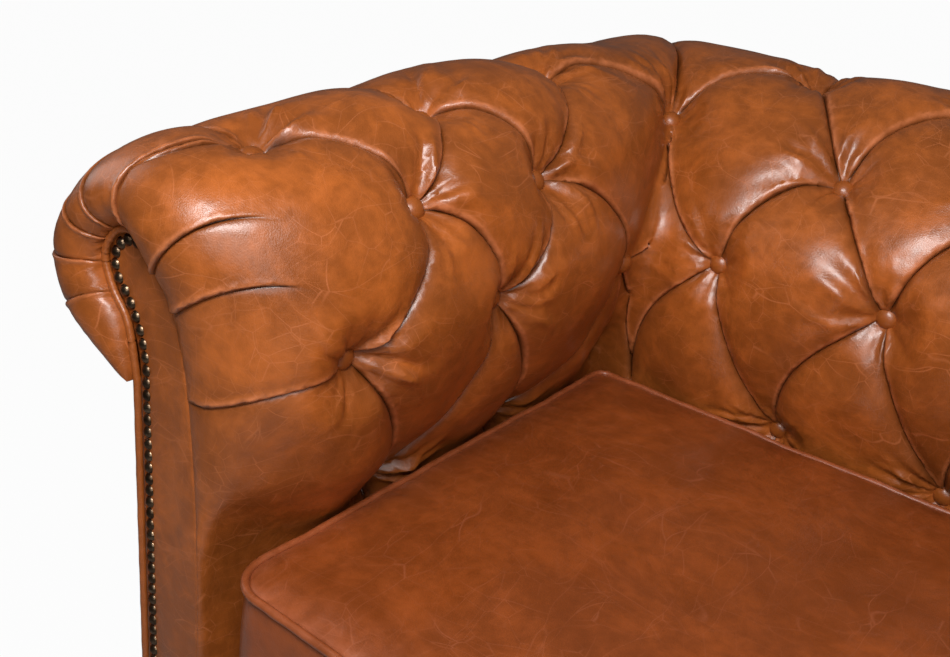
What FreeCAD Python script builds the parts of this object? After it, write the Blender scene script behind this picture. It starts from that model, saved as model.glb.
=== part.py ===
"""Tufted club sofa: a button-backed, roll-armed leather sofa with three loose seat cushions.

Lengths are in millimetres. X runs to the sitter's left-hand side as seen from the front (to the right of
the picture), Y runs from the front to the back and Z runs up. The origin is under the middle, on the floor.
"""

import FreeCAD, Part
import math
import os

import Sketcher

V = FreeCAD.Vector

# Driving dimensions, one cell each.
SIZES = {
    "inside_width": 1680,
    "cushion_depth": 562,
    "centre_shift": 8.2,
    "cushion_bulge": 7,
    "cushion_crown": 20,
    "cushion_corner": 34,
    "cushion_back_corner": 9,
    "cushion_draw_in": 3,
    "cushion_gap": 1.2,
    "cushion_inset": 70,
    "boxing_height": 155,
    "deck_height": 300,
    "front_overhang": 9,
    "arm_rise": 328,
    "arm_reach": 215,
    "back_reach": 322,
    "pillow_height": 30,
    "foam_depth": 35,
    "leather_thickness": 2,
    "fit_gap": 0.4,
    "bow_limit": 0.2,
    "front_round": 80,
    "front_bulge": 26,
    "back_first_button": 119,
    "arm_first_button": 84,
    "arm_button_spacing": 187,
    "corner_button_shift": 32,
    "button_radius": 11.5,
    "button_height": 6,
    "button_shank_radius": 2,
    "button_seat": 8.5,
    "button_lift": 1.7,
    "near_button_lift": 5.5,
    "corner_button_lift": 7.3,
    "facing_thickness": 17,
    "border_set_back": 5,
    "post_inset": 12,
    "nail_diameter": 11,
    "nail_dome": 4.2,
    "nail_inset": 12,
    "welt_radius": 3.2,
    "foot_height": 75,
    "foot_radius": 48,
    "foot_inset": 75,
    "foot_waist_radius": 34,
    "foot_neck_radius": 26,
    "foot_neck_height": 12,
    "glide_radius": 14,
    "glide_height": 5,
    "bolt_radius": 4,
    "bolt_length": 70,
    "bolt_grip": 30,
    "tee_nut_radius": 11,
    "tee_nut_flange": 1.6,
    "rail_thickness": 40,
    "post_thickness": 65,
    "top_rail_bottom": 205,
    "top_rail_depth": 45,
    "arm_top_rail_inner": 50,
    "arm_top_rail_width": 90,
    "back_top_rail_inner": 125,
    "back_top_rail_width": 130,
    "back_rail_inner": 178,
    "tack_rail_rise": 45,
    "tack_rail_height": 40,
    "block_side": 70,
    "stretcher_width": 45,
    "stretcher_height": 60,
    "webbing_width": 60,
    "webbing_thickness": 2,
    "deck_pad_depth": 39,
    "deck_cover_thickness": 2,
    "deck_edge": 50,
    "panel_thickness": 5,
    "border_thickness": 12,
    "dust_cover_thickness": 1,
    "dust_cover_inset": 12,
    "piping_radius": 3.6,
    "zip_tape_height": 26,
    "zip_tape_thickness": 1.2,
    "zip_end_margin": 45,
    "zip_slider_length": 14,
    "zip_slider_height": 10,
    "zip_slider_depth": 4,
    "zip_pull_length": 24,
    "zip_pull_thickness": 1.5,
}
CUSHION_NAMES = ("left", "middle", "right")
BACK_DIAMONDS = 8  # whole diamonds between the first and last button of a row
ARM_DIAMONDS = 2
BACK_POST_SHARES = (-1, -0.28, 0.28, 1)
WEB_ALONG_DEPTH = 12
WEB_ALONG_WIDTH = 4

# Stations round the padded roll, from the deck up, over the roll and down outside it. Each is a share of the
# arm's or the back's reach outwards, a share of the rise, and the share of pillow and foam depth there.
ARM_OUT_SHARES = (0.15, 0.175, -0.02, -0.14, -0.11, -0.02, 0.14, 0.35, 0.605, 0.86, 1.0, 0.93, 0.744, 0.53)
BACK_OUT_SHARES = (0.10, 0.127, 0.056, 0.006, 0.078, 0.211, 0.388, 0.612, 0.792, 0.932, 1.0, 0.963, 0.839, 0.7)
UP_SHARES = (None, -0.027, 0.26, 0.52, 0.686, 0.832, 0.939, 1.0, 0.99, 0.884, 0.716, 0.564, 0.457, 0.4)
PILLOW_SHARES = (0.1, 0.8, 0.9, 1.0, 1.0, 1.0, 1.0, 0.95, 0.8, 0.65, 0.5, 0.4, 0.25, 0.1)
FOAM_SHARES = (0.35, 0.38, 1.0, 1.0, 1.0, 1.0, 1.0, 1.0, 0.9, 0.8, 0.7, 0.6, 0.5, 0.4)
ROW_STATIONS = {1: "between", 3: "on", 5: "between", 7: "on"}  # which half of the buttons each row has
SADDLE_SHARE = 0.66  # height of the leather half way along a pleat
FRONT_TURNS = (30, 55, 75, 90)  # degrees round the arm's rounded front end
FRONT_PLUMP_SHARE = 0.7
# The same stations on the outline of the front facing, as shares of the arm's reach and rise.
FACING_OUT_SHARES = (0.186, 0.186, 0.195, 0.214, 0.242, 0.288, 0.335, 0.428, 0.521, 0.623, 0.693, 0.651, 0.567, 0.523)
FACING_UP_SHARES = (None, -0.027, 0.122, 0.305, 0.457, 0.625, 0.726, 0.78, 0.799, 0.774, 0.701, 0.616, 0.543, 0.405)

doc = FreeCAD.newDocument("club_sofa")
sheet = doc.addObject("Spreadsheet::Sheet", "sizes")
for row, (alias, value) in enumerate(SIZES.items(), start=1):
    sheet.set(f"A{row}", alias)
    sheet.set(f"B{row}", str(value))
    sheet.setAlias(f"B{row}", alias)
doc.recompute()

NODES = []


def size(alias):
    """The value of one cell."""
    return float(sheet.get(alias))


def e(text):
    """An expression in which each @word is a cell."""
    return text.replace("@", "sizes.")


# Places that many pieces share, as expressions of the cells.
HALF = "@inside_width / 2"
BACK_LINE = "((@cushion_depth - @back_reach) / 2 - @centre_shift)"
FRONT = f"({BACK_LINE} - @cushion_depth + @front_overhang)"
PIPING_Z = "(@deck_height + @boxing_height)"
RAIL_TOP = "(@deck_height - @deck_cover_thickness - @deck_pad_depth - 2 * @webbing_thickness)"
RAIL_HEIGHT = f"({RAIL_TOP} - @foot_height)"
FACING_INNER = f"(@arm_reach * {FACING_OUT_SHARES[0]})"
FACING_OUTER = f"(@arm_reach * {FACING_OUT_SHARES[-1]})"
POST_INNER = f"({FACING_INNER} + @post_inset)"
BACK_END = f"({BACK_LINE} + @back_rail_inner)"
POST_BACK = f"({FRONT} + @facing_thickness + @fit_gap + @post_thickness)"

half = size("inside_width") / 2
back_line = (size("cushion_depth") - size("back_reach")) / 2 - size("centre_shift")
front = back_line - size("cushion_depth") + size("front_overhang")
piping_z = size("deck_height") + size("boxing_height")
rail_top = size("deck_height") - size("deck_cover_thickness") - size("deck_pad_depth") - 2 * size("webbing_thickness")
block_height = rail_top - size("foot_height") - 2 * size("webbing_width")
facing_inner = size("arm_reach") * FACING_OUT_SHARES[0]
facing_outer = size("arm_reach") * FACING_OUT_SHARES[-1]
leather = size("leather_thickness")
gap = size("fit_gap")


def node(thing, label):
    """Names a finished sub-part and lists it for writing."""
    thing.Label = label
    NODES.append(thing)
    return thing


def feature(label, shape):
    """A sub-part whose shape is worked out here from the cells."""
    thing = doc.addObject("Part::Feature", label)
    thing.Shape = shape
    return node(thing, label)


def bind(thing, **expressions):
    """Binds properties of an object to the cells. X, Y and Z are its place."""
    for name, text in expressions.items():
        prop = f"Placement.Base.{name.lower()}" if name in ("X", "Y", "Z") else name
        thing.setExpression(prop, e(text))
    return thing


def box(name, low, span):
    """A block from its lowest corner and its three spans, all as expressions."""
    thing = doc.addObject("Part::Box", name)
    return bind(thing, X=low[0], Y=low[1], Z=low[2], Length=span[0], Width=span[1], Height=span[2])


def cylinder(name, place, radius, height):
    thing = doc.addObject("Part::Cylinder", name)
    return bind(thing, X=place[0], Y=place[1], Z=place[2], Radius=radius, Height=height)


def group(label, shapes):
    """Like pieces of one kind, kept as separate solids under one name."""
    return feature(label, Part.makeCompound(shapes))


def fuse(name, things):
    joined = doc.addObject("Part::MultiFuse", name)
    joined.Shapes = things
    return joined


def mirrored(expression, side):
    """An X place on the left (-1) or right (+1) side of the sofa."""
    return f"{side} * ({expression})"


def side_box(label, side, out, thickness, low_y, low_z, length, height):
    """A block beside the seat: out is how far outside the cushion's edge its inner face lies."""
    x = f"{HALF} + {out}" if side > 0 else f"-({HALF} + {out} + {thickness})"
    return node(box(label, (x, low_y, low_z), (thickness, length, height)), label)


# The seat frame, the posts and the rails inside the arms and the back.
def make_frame():
    rail_low = "@foot_height"
    front_y = f"{FRONT} + @border_thickness + 2 * @fit_gap + @border_set_back"
    node(
        box(
            "frame_front_rail",
            (f"-({HALF} + {POST_INNER} - @fit_gap)", front_y, rail_low),
            (f"2 * ({HALF} + {POST_INNER} - @fit_gap)", "@rail_thickness", RAIL_HEIGHT),
        ),
        "frame_front_rail",
    )
    side_out = f"({FACING_OUTER} - @panel_thickness - @rail_thickness - @fit_gap)"
    rear_half = f"({HALF} + {side_out} + @rail_thickness)"
    node(
        box(
            "frame_back_rail",
            (f"-{rear_half}", BACK_END, rail_low),
            (f"2 * {rear_half}", "@rail_thickness", RAIL_HEIGHT),
        ),
        "frame_back_rail",
    )
    node(
        box(
            "frame_back_top_rail",
            (
                f"-({HALF} + @arm_top_rail_inner + @arm_top_rail_width)",
                f"{BACK_LINE} + @back_top_rail_inner",
                f"{PIPING_Z} + @top_rail_bottom",
            ),
            (
                f"2 * ({HALF} + @arm_top_rail_inner + @arm_top_rail_width)",
                "@back_top_rail_width",
                "@top_rail_depth",
            ),
        ),
        "frame_back_top_rail",
    )
    node(
        box(
            "frame_back_tack_rail",
            (f"-({HALF} + {side_out})", f"{BACK_END} - @rail_thickness", "@deck_height + @tack_rail_rise"),
            (f"2 * ({HALF} + {side_out})", "@rail_thickness", "@tack_rail_height"),
        ),
        "frame_back_tack_rail",
    )
    rear_out = facing_outer - size("panel_thickness") - size("rail_thickness") - gap
    thick = size("rail_thickness")
    post_height = piping_z + size("top_rail_bottom") - rail_top
    rear_y = back_line + size("back_rail_inner")
    span = half + rear_out
    posts = [
        Part.makeBox(thick, thick, post_height, V(share * span + (thick if share > 0 else -thick) / 2 - thick / 2,
                                                  rear_y, rail_top))
        for share in BACK_POST_SHARES
    ]
    group("frame_back_posts", posts)
    for side, word in ((-1, "left"), (1, "right")):
        side_box(f"frame_side_rail_{word}", side, side_out, "@rail_thickness", POST_BACK, rail_low,
                 f"{BACK_END} - {POST_BACK}", RAIL_HEIGHT)
        side_box(f"frame_arm_tack_rail_{word}", side, side_out, "@rail_thickness / 2", POST_BACK,
                 "@deck_height + @tack_rail_rise", f"{BACK_END} - {POST_BACK}", "@tack_rail_height")
        side_box(f"frame_arm_top_rail_{word}", side, "@arm_top_rail_inner", "@arm_top_rail_width", POST_BACK,
                 f"{PIPING_Z} + @top_rail_bottom",
                 f"{BACK_LINE} + @back_top_rail_inner - {POST_BACK}", "@top_rail_depth")
    make_seat_blocks(rear_y, rear_out, rail_top)


def make_seat_blocks(rear_y, rear_out, rail_top):
    """Glued corner blocks, and two stretchers that carry the webbing between the cushions."""
    block = size("block_side")
    front_back = front + size("border_thickness") + size("border_set_back") + 2 * gap + size("rail_thickness")
    blocks = []
    for side in (-1, 1):
        x_wall = side * (half + rear_out)
        front_wall = side * (half + (facing_inner + size("post_inset")) - gap)
        for x, y, turn in ((front_wall, front_back, 1), (x_wall, rear_y, -1)):
            corner = V(x, y, size("foot_height"))
            outline = [corner, corner + V(-side * block, 0, 0), corner + V(0, turn * block, 0), corner]
            blocks.append(Part.Face(Part.makePolygon(outline)).extrude(V(0, 0, block_height)))
    group("frame_corner_blocks", blocks)
    stretchers = []
    for side in (-1, 1):
        x = side * size("inside_width") / (2 * len(CUSHION_NAMES)) - size("stretcher_width") / 2
        low = V(x, front_back, rail_top - size("stretcher_height"))
        stretchers.append(
            Part.makeBox(size("stretcher_width"), rear_y - front_back, size("stretcher_height"), low)
        )
    group("frame_seat_stretchers", stretchers)


def arc_or_line(start, middle, end):
    """The curve through three points, or a line where they are in one."""
    bow = (middle - start).distanceToLine(V(), end - start)
    if bow < size("bow_limit"):
        return Part.LineSegment(start, end)
    return Part.Arc(start, middle, end)


def section_curves(points, first, last):
    """Arcs from one station to another, each through the station between two rows."""
    return [arc_or_line(points[i], points[i + 1], points[i + 2]) for i in range(first, last, 2)]


# The padded and buttoned inside of the arms and the back.
def profile(out_shares, up_shares, reach):
    """Base points at the level of the buttons, and the outward normal at each station."""
    low = size("deck_height") + gap - piping_z
    base = [
        (share * reach, low if up is None else up * size("arm_rise")) for share, up in zip(out_shares, up_shares)
    ]
    normals = []
    last = len(base) - 1
    for i in range(len(base)):
        before, after = base[max(i - 1, 0)], base[min(i + 1, last)]
        along = V(after[0] - before[0], after[1] - before[1], 0).normalize()
        normals.append((-along.y, along.x))
    normals[0] = (-1.0, 0.0)
    return base, normals


ARM = profile(ARM_OUT_SHARES, UP_SHARES, size("arm_reach"))
BACK = profile(BACK_OUT_SHARES, UP_SHARES, size("back_reach"))
FACING = profile(FACING_OUT_SHARES, FACING_UP_SHARES, size("arm_reach"))


def pillow(station, kind):
    """Height of the leather over button level at a station: kind says which buttons this section passes."""
    full = size("pillow_height") * PILLOW_SHARES[station]
    if station in ROW_STATIONS:
        return 0.0 if ROW_STATIONS[station] == kind else full
    if station > max(ROW_STATIONS):
        return full * (0.35 if kind == "on" else 1.0)
    return full * (SADDLE_SHARE if station > min(ROW_STATIONS) else 1.0)


def lift(shape, station, depth, kind):
    """A station's point raised to the leather's surface and lowered again by depth."""
    (out, up), (normal_out, normal_up) = shape[0][station], shape[1][station]
    height = pillow(station, kind) - depth(station)
    rise = normal_up * height if station else 0.0
    return out + normal_out * height, up + rise


def arm_place(side, along, out, up):
    """A point from its distance in front of the cushion's back edge, out from its side and over its piping."""
    return V(side * (half + out), back_line - along, piping_z + up)


def arm_section(side, along, kind, depth):
    """Points round the arm's roll across the arm. The lower button next to the corner is nearer to it."""
    points = []
    nearest = along == size("arm_first_button")
    for station in range(len(UP_SHARES)):
        out, up = lift(ARM, station, depth, kind)
        row = 3
        near = max(0, 2 - abs(station - row)) / 2 if nearest else 0
        points.append(arm_place(side, along - near * size("corner_button_shift"), out, up))
    return points


def facing_station(station, spread):
    """A station on the facing's outline, moved out from the outline by spread."""
    (out, up), (normal_out, normal_up) = FACING[0][station], FACING[1][station]
    return out + normal_out * spread, up + (normal_up * spread if station else 0.0)


def front_section(side, turn, depth, spread, short):
    """Points round the arm's plump front end, which is drawn in to the facing."""
    run = size("front_round")
    start = size("cushion_depth") - size("front_overhang") - run
    angle = math.radians(turn)
    along = start + (run - short) * math.sin(angle) + size("front_bulge") * math.sin(2 * angle)
    points = []
    for station in range(len(UP_SHARES)):
        out, up = lift(ARM, station, depth, "none")
        edge_out, edge_up = facing_station(station, spread)
        share = math.cos(angle)
        points.append(arm_place(side, along, edge_out + (out - edge_out) * share, edge_up + (up - edge_up) * share))
    return points


def corner_section(side, depth, shift):
    """Points up the mitre where an arm and the back meet."""
    points = []
    for station in range(len(UP_SHARES)):
        arm_out, arm_up = lift(ARM, station, depth, "between")
        back_out, back_up = lift(BACK, station, depth, "between")
        points.append(V(side * (half + arm_out), back_line + back_out - shift, piping_z + (arm_up + back_up) / 2))
    return points


def back_section(x, kind, depth):
    points = []
    for station in range(len(UP_SHARES)):
        out, up = lift(BACK, station, depth, kind)
        points.append(V(x, back_line + out, piping_z + up))
    return points


def section_wire(points):
    """A straight tuck at the deck, then the arcs of the roll."""
    curves = [Part.LineSegment(points[0], points[1])] + section_curves(points, 1, len(points) - 2)
    return Part.Wire([curve.toShape() for curve in curves])


def layer_solid(outer, inner):
    """A closed layer between two sets of sections."""
    outer_wires, inner_wires = [section_wire(s) for s in outer], [section_wire(s) for s in inner]
    faces = list(Part.makeLoft(outer_wires, False, True).Faces)
    faces += Part.makeLoft(inner_wires, False, True).Faces
    for end in (0, -1):
        faces += Part.makeLoft([outer_wires[end], inner_wires[end]], False, True).Faces
        edge_outer = Part.makePolygon([s[end] for s in outer])
        edge_inner = Part.makePolygon([s[end] for s in inner])
        faces += Part.makeLoft([edge_outer, edge_inner], False, True).Faces
    skin = Part.makeCompound(faces)
    skin.sewShape()
    solid = Part.makeSolid(skin.Shells[0])
    if solid.Volume < 0:
        solid.reverse()
    return solid


def no_depth(station):
    return 0.0


def leather_depth(station):
    return leather


def padding_depth(station):
    return leather + gap


def cavity_depth(kind):
    """Depth of the padding's inner face, which takes no notice of the pillows."""

    def deep(station):
        return pillow(station, kind) + size("foam_depth") * FOAM_SHARES[station]

    return deep


def arm_runs():
    """Places of the button columns along the arm, with the half of the buttons that each passes."""
    first, step = size("arm_first_button"), size("arm_button_spacing")
    runs = []
    for k in range(ARM_DIAMONDS + 1):
        runs.append((first + k * step, "on"))
        if k < ARM_DIAMONDS:
            runs.append((first + (k + 0.5) * step, "between"))
    return runs


def back_runs():
    first = size("back_first_button")
    step = (size("inside_width") - 2 * first) / BACK_DIAMONDS
    runs = []
    for k in range(BACK_DIAMONDS + 1):
        runs.append((-half + first + k * step, "on"))
        if k < BACK_DIAMONDS:
            runs.append((-half + first + (k + 0.5) * step, "between"))
    return runs


def arm_sections(side, depth_of, turns, spread, short):
    """All the sections of one face of an arm's padding, from the corner to the facing."""
    made = [corner_section(side, depth_of("between"), gap)]
    for along, kind in arm_runs():
        made.append(arm_section(side, along, kind, depth_of(kind)))
    for turn in turns:
        made.append(front_section(side, turn, depth_of("none"), spread, short))
    return made


def arm_leather(side):
    outer = arm_sections(side, lambda kind: no_depth, FRONT_TURNS, leather + gap, 0.0)
    inner = arm_sections(side, lambda kind: leather_depth, FRONT_TURNS, gap, leather)
    return layer_solid(outer, inner)


def arm_foam(side):
    """The foam stops behind the facing, one turn before the leather."""
    turns = FRONT_TURNS[:-1]
    outer = arm_sections(side, lambda kind: padding_depth, turns, 0.0, leather + gap)
    inner = arm_sections(side, cavity_depth, turns, 0.0, size("foam_depth"))
    return layer_solid(outer, inner)


def back_layer(shallow, deep, deep_is_cavity=False):
    def sections(depth, cavity):
        made = [corner_section(-1, cavity_depth("between") if cavity else depth, 0.0)]
        for x, kind in back_runs():
            made.append(back_section(x, kind, cavity_depth(kind) if cavity else depth))
        made.append(corner_section(1, cavity_depth("between") if cavity else depth, 0.0))
        return made

    return layer_solid(sections(shallow, False), sections(deep, deep_is_cavity))


def make_padding():
    for side, word in ((-1, "left"), (1, "right")):
        feature(f"inside_arm_leather_{word}", arm_leather(side))
        feature(f"inside_arm_foam_{word}", arm_foam(side))
    feature("inside_back_leather", back_layer(no_depth, leather_depth))
    feature("inside_back_foam", back_layer(padding_depth, None, deep_is_cavity=True))


# The front facing of each arm, its post, its welt and its nails.
def facing_outline(side, spread):
    """Curves of the scroll outline, down to the bottom of the arm on both sides."""
    low = size("foot_height") - piping_z
    points = []
    for station in range(len(FACING_OUT_SHARES)):
        out, up = facing_station(station, spread)
        points.append(V(side * (half + out), piping_z + up, 0))
    inner_foot = V(points[1].x, piping_z + low, 0)
    outer_foot = V(side * (half + facing_outer + spread), piping_z + low, 0)
    curves = [Part.LineSegment(inner_foot, points[1])]
    curves += section_curves(points, 1, len(points) - 2)
    curves.append(Part.LineSegment(points[-1], outer_foot))
    return curves, inner_foot, outer_foot


def scroll_board(label, side, spread, low_y, thickness):
    """A board cut to the scroll outline: a sketch on the XZ plane and a pad backwards."""
    body = doc.addObject("PartDesign::Body", label)
    sketch = body.newObject("Sketcher::SketchObject", f"{label}_outline")
    plane = next(f for f in body.Origin.OriginFeatures if f.Role == "XZ_Plane")
    sketch.AttachmentSupport = [(plane, "")]
    sketch.MapMode = "FlatFace"
    curves, inner_foot, outer_foot = facing_outline(side, spread)
    sketch.addGeometry(curves + [Part.LineSegment(outer_foot, inner_foot)], False)
    pad = body.newObject("PartDesign::Pad", f"{label}_pad")
    pad.Profile = sketch
    pad.setExpression("Length", e(thickness))
    pad.Reversed = True
    bind(body, Y=low_y)
    doc.recompute()
    return node(body, label)


def front_path(side, spread, ahead):
    """The path of the welt or the nails: up the arm's outer edge and round the scroll head."""
    curves = facing_outline(side, spread)[0]
    wanted = curves[1 + (len(FACING_OUT_SHARES) // 2 - 1) // 2:]
    wire = Part.Wire([curve.toShape() for curve in wanted])
    wire.rotate(V(), V(1, 0, 0), 90)
    wire.translate(V(0, front - ahead, 0))
    return wire


def tube(wire, radius):
    """A round tube along a path, with its ends square to it."""
    edge = wire.OrderedEdges[0]
    place = edge.valueAt(edge.FirstParameter)
    tangent = edge.tangentAt(edge.FirstParameter)
    ring = Part.Wire([Part.makeCircle(radius, place, tangent)])
    return wire.makePipeShell([ring], True, False, 0)


def dome(radius, rise, place, facing):
    """A shallow cap on a flat base."""
    ball = (radius**2 + rise**2) / (2 * rise)
    latitude = math.degrees(math.asin((ball - rise) / ball))
    return Part.makeSphere(ball, place - facing * (ball - rise), facing, latitude, 90, 360)


def make_arm_fronts():
    for side, word in ((-1, "left"), (1, "right")):
        scroll_board(f"arm_facing_{word}", side, 0.0, FRONT, "@facing_thickness")
        scroll_board(
            f"frame_arm_post_{word}", side, -size("post_inset"),
            f"{FRONT} + @facing_thickness + @fit_gap", "@post_thickness",
        )
        radius = size("welt_radius")
        feature(f"arm_facing_welt_{word}", tube(front_path(side, gap - radius, radius + gap), radius))
        path = front_path(side, -size("nail_inset"), 0.0)
        pitch = size("nail_diameter") + gap / 2
        places = path.discretize(Distance=pitch)
        low = size("foot_height") + size("nail_diameter")
        nails = [
            dome(size("nail_diameter") / 2, size("nail_dome"), place, V(0, -1, 0))
            for place in places
            if place.z > low and abs(place.x) > half + facing_outer - size("nail_inset")
        ]
        group(f"arm_nails_{word}", nails)


def make_buttons():
    """Covered buttons with a cone under each, whose tip is at the bottom of its pit."""

    def button(place, facing, more=0.0):
        radius, seat = size("button_radius"), size("button_seat")
        cone = Part.makeCone(size("button_shank_radius"), radius, seat)
        solid = cone.fuse(dome(radius, size("button_height"), V(0, 0, seat), V(0, 0, 1))).removeSplitter()
        solid.Placement = FreeCAD.Placement(place + facing * (size("button_lift") + more), FreeCAD.Rotation(V(0, 0, 1), facing))
        return solid

    back = []
    for x, kind in back_runs():
        for station, which in ROW_STATIONS.items():
            if which == kind:
                (out, up), (normal_out, normal_up) = BACK[0][station], BACK[1][station]
                back.append(button(V(x, back_line + out, piping_z + up), V(0, normal_out, normal_up)))
    for side in (-1, 1):
        for station, which in ROW_STATIONS.items():
            if which == "between" and station > min(ROW_STATIONS):
                (arm_out, up), (back_out, _) = ARM[0][station], BACK[0][station]
                arm_normal, back_normal = ARM[1][station], BACK[1][station]
                facing = V(side * arm_normal[0], back_normal[0], arm_normal[1] + back_normal[1]).normalize()
                place = V(side * (half + arm_out), back_line + back_out, piping_z + up)
                back.append(button(place, facing, size("corner_button_lift")))
    group("back_buttons", back)
    for side, word in ((-1, "left"), (1, "right")):
        arm = []
        for along, kind in arm_runs():
            for station, which in ROW_STATIONS.items():
                if which == kind:
                    (out, up), (normal_out, normal_up) = ARM[0][station], ARM[1][station]
                    nearest = along == size("arm_first_button") and station == 3
                    place = arm_place(side, along - (size("corner_button_shift") if nearest else 0.0), out, up)
                    more = size("near_button_lift") if nearest else 0.0
                    arm.append(button(place, V(side * normal_out, 0, normal_up), more))
        group(f"arm_buttons_{word}", arm)


# The deck under the cushions, the outside panels and the feet.
def make_deck():
    low = rail_top
    wide, thin = size("webbing_width"), size("webbing_thickness")
    rail_in = front + size("border_thickness") + size("border_set_back") + 2 * gap + size("rail_thickness")
    rail_back = back_line + size("back_rail_inner")
    straps = []
    depth = rail_back - rail_in + size("rail_thickness")
    for k in range(WEB_ALONG_DEPTH):
        x = -half + (k + 0.5) * size("inside_width") / WEB_ALONG_DEPTH
        straps.append(Part.makeBox(wide, depth, thin, V(x - wide / 2, rail_in - size("rail_thickness") / 2, low)))
    length = size("inside_width") + 2 * size("deck_edge")
    for k in range(WEB_ALONG_WIDTH):
        y = rail_in + (k + 0.5) * (rail_back - rail_in) / WEB_ALONG_WIDTH
        straps.append(Part.makeBox(length, wide, thin, V(-length / 2, y - wide / 2, low + thin)))
    group("seat_webbing", straps)
    pad_low = f"({RAIL_TOP} + 2 * @webbing_thickness)"
    border_y = f"({FRONT} + @border_set_back + @fit_gap)"
    pad_y = f"({border_y} + @border_thickness + @fit_gap)"
    pad_end = f"({BACK_LINE} + @deck_edge)"
    node(
        box(
            "seat_deck_pad",
            (f"-({HALF} + {FACING_INNER} - @fit_gap)", pad_y, pad_low),
            (f"2 * ({HALF} + {FACING_INNER} - @fit_gap)", f"{pad_end} - {pad_y}",
             f"@deck_height - @deck_cover_thickness - {pad_low}"),
        ),
        "seat_deck_pad",
    )
    node(
        box(
            "seat_deck_cover",
            (f"-({HALF} + {FACING_INNER} - @fit_gap)", border_y, "@deck_height - @deck_cover_thickness"),
            (f"2 * ({HALF} + {FACING_INNER} - @fit_gap)", f"{pad_end} - {border_y}", "@deck_cover_thickness"),
        ),
        "seat_deck_cover",
    )
    node(
        box(
            "front_border",
            (f"-({HALF} + {FACING_INNER} - @fit_gap)", border_y, "@foot_height"),
            (
                f"2 * ({HALF} + {FACING_INNER} - @fit_gap)",
                "@border_thickness",
                "@deck_height - @deck_cover_thickness - @foot_height",
            ),
        ),
        "front_border",
    )


def make_panels():
    top = f"({PIPING_Z} + {-UP_SHARES[-1]} * -@arm_rise - @panel_thickness - @fit_gap)"
    low_y = f"({FRONT} + @facing_thickness + @fit_gap)"
    for side, word in ((-1, "left"), (1, "right")):
        side_box(f"outside_arm_leather_{word}", side, f"({FACING_OUTER} - @panel_thickness)", "@panel_thickness",
                 low_y, "@foot_height", f"{BACK_END} + @rail_thickness - {low_y}", f"{top} - @foot_height")
    node(
        box(
            "outside_back_leather",
            (f"-({HALF} + {FACING_OUTER})", f"{BACK_END} + @rail_thickness + @fit_gap", "@foot_height"),
            (f"2 * ({HALF} + {FACING_OUTER})", "@panel_thickness", f"{top} - @foot_height"),
        ),
        "outside_back_leather",
    )


def foot_places():
    """The corner feet first, then a middle pair under the rails."""
    front_y = front + size("foot_inset")
    back_y = back_line + size("back_rail_inner") + size("rail_thickness") - size("foot_inset")
    x = half + facing_outer - size("foot_inset")
    corners = [(side * x, y) for y in (front_y, back_y) for side in (-1, 1)]
    rail_front = front + size("border_thickness") + size("border_set_back") + 2 * gap + size("rail_thickness") / 2
    rail_back = back_line + size("back_rail_inner") + size("rail_thickness") / 2
    return corners, [(0.0, rail_front), (0.0, rail_back)]


def make_feet():
    corners, middles = foot_places()
    top, glide = size("foot_height"), size("glide_height")
    bun, neck, waist = size("foot_radius"), size("foot_neck_radius"), size("foot_waist_radius")
    neck_low = top - size("foot_neck_height")
    drilled = size("bolt_radius") + gap / 2
    grip = size("bolt_grip")

    def foot(x, y):
        belly = (glide + neck_low) / 2
        rings = [
            Part.makeLine(V(0, 0, glide), V(waist, 0, glide)),
            Part.Arc(V(waist, 0, glide), V(bun, 0, belly), V(waist, 0, neck_low)).toShape(),
            Part.makeLine(V(waist, 0, neck_low), V(neck, 0, neck_low)),
            Part.makeLine(V(neck, 0, neck_low), V(neck, 0, top)),
            Part.makeLine(V(neck, 0, top), V(0, 0, top)),
            Part.makeLine(V(0, 0, top), V(0, 0, glide)),
        ]
        solid = Part.makeSolid(Part.Face(Part.Wire(rings)).revolve(V(), V(0, 0, 1), 360).Shells[0])
        solid = solid.cut(Part.makeCylinder(drilled, grip + gap, V(0, 0, top - grip - gap / 2)))
        solid.translate(V(x, y, 0))
        return solid

    places = corners + middles
    group("feet", [foot(x, y) for x, y in places])
    group("foot_glides", [Part.makeCylinder(size("glide_radius"), glide, V(x, y, 0)) for x, y in places])
    length = grip + block_height
    group("foot_bolts", [Part.makeCylinder(size("bolt_radius"), length, V(x, y, top - grip)) for x, y in places])
    nut_z = top + block_height
    nuts = []
    for x, y in corners:
        flange = Part.makeCylinder(size("tee_nut_radius"), size("tee_nut_flange"), V(x, y, nut_z))
        nuts.append(flange.cut(Part.makeCylinder(drilled, size("tee_nut_flange"), V(x, y, nut_z))))
    group("foot_tee_nuts", nuts)
    drill_blocks(corners, middles, drilled)
    make_dust_cover(places)


def drill_blocks(corners, middles, drilled):
    """Bolt holes in the corner blocks and the rails over the feet."""
    low = size("foot_height")
    blocks = next(thing for thing in NODES if thing.Label == "frame_corner_blocks")
    holes = [Part.makeCylinder(drilled, block_height, V(x, y, low)) for x, y in corners]
    blocks.Shape = Part.makeCompound([solid.cut(holes) for solid in blocks.Shape.Solids])
    for label, (x, y) in zip(("frame_front_rail", "frame_back_rail"), middles):
        rail = next(thing for thing in NODES if thing.Label == label)
        hole = doc.addObject("Part::Cylinder", f"{label}_hole")
        bind(hole, Radius="@bolt_radius + @fit_gap / 2", Height=f"{RAIL_HEIGHT} - 2 * @webbing_width + @fit_gap")
        hole.Placement.Base = V(x, y, low)
        cut = doc.addObject("Part::Cut", f"{label}_drilled")
        cut.Base = rail
        cut.Tool = hole
        NODES[NODES.index(rail)] = cut
        rail.Label = f"{label}_blank"
        cut.Label = label


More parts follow.
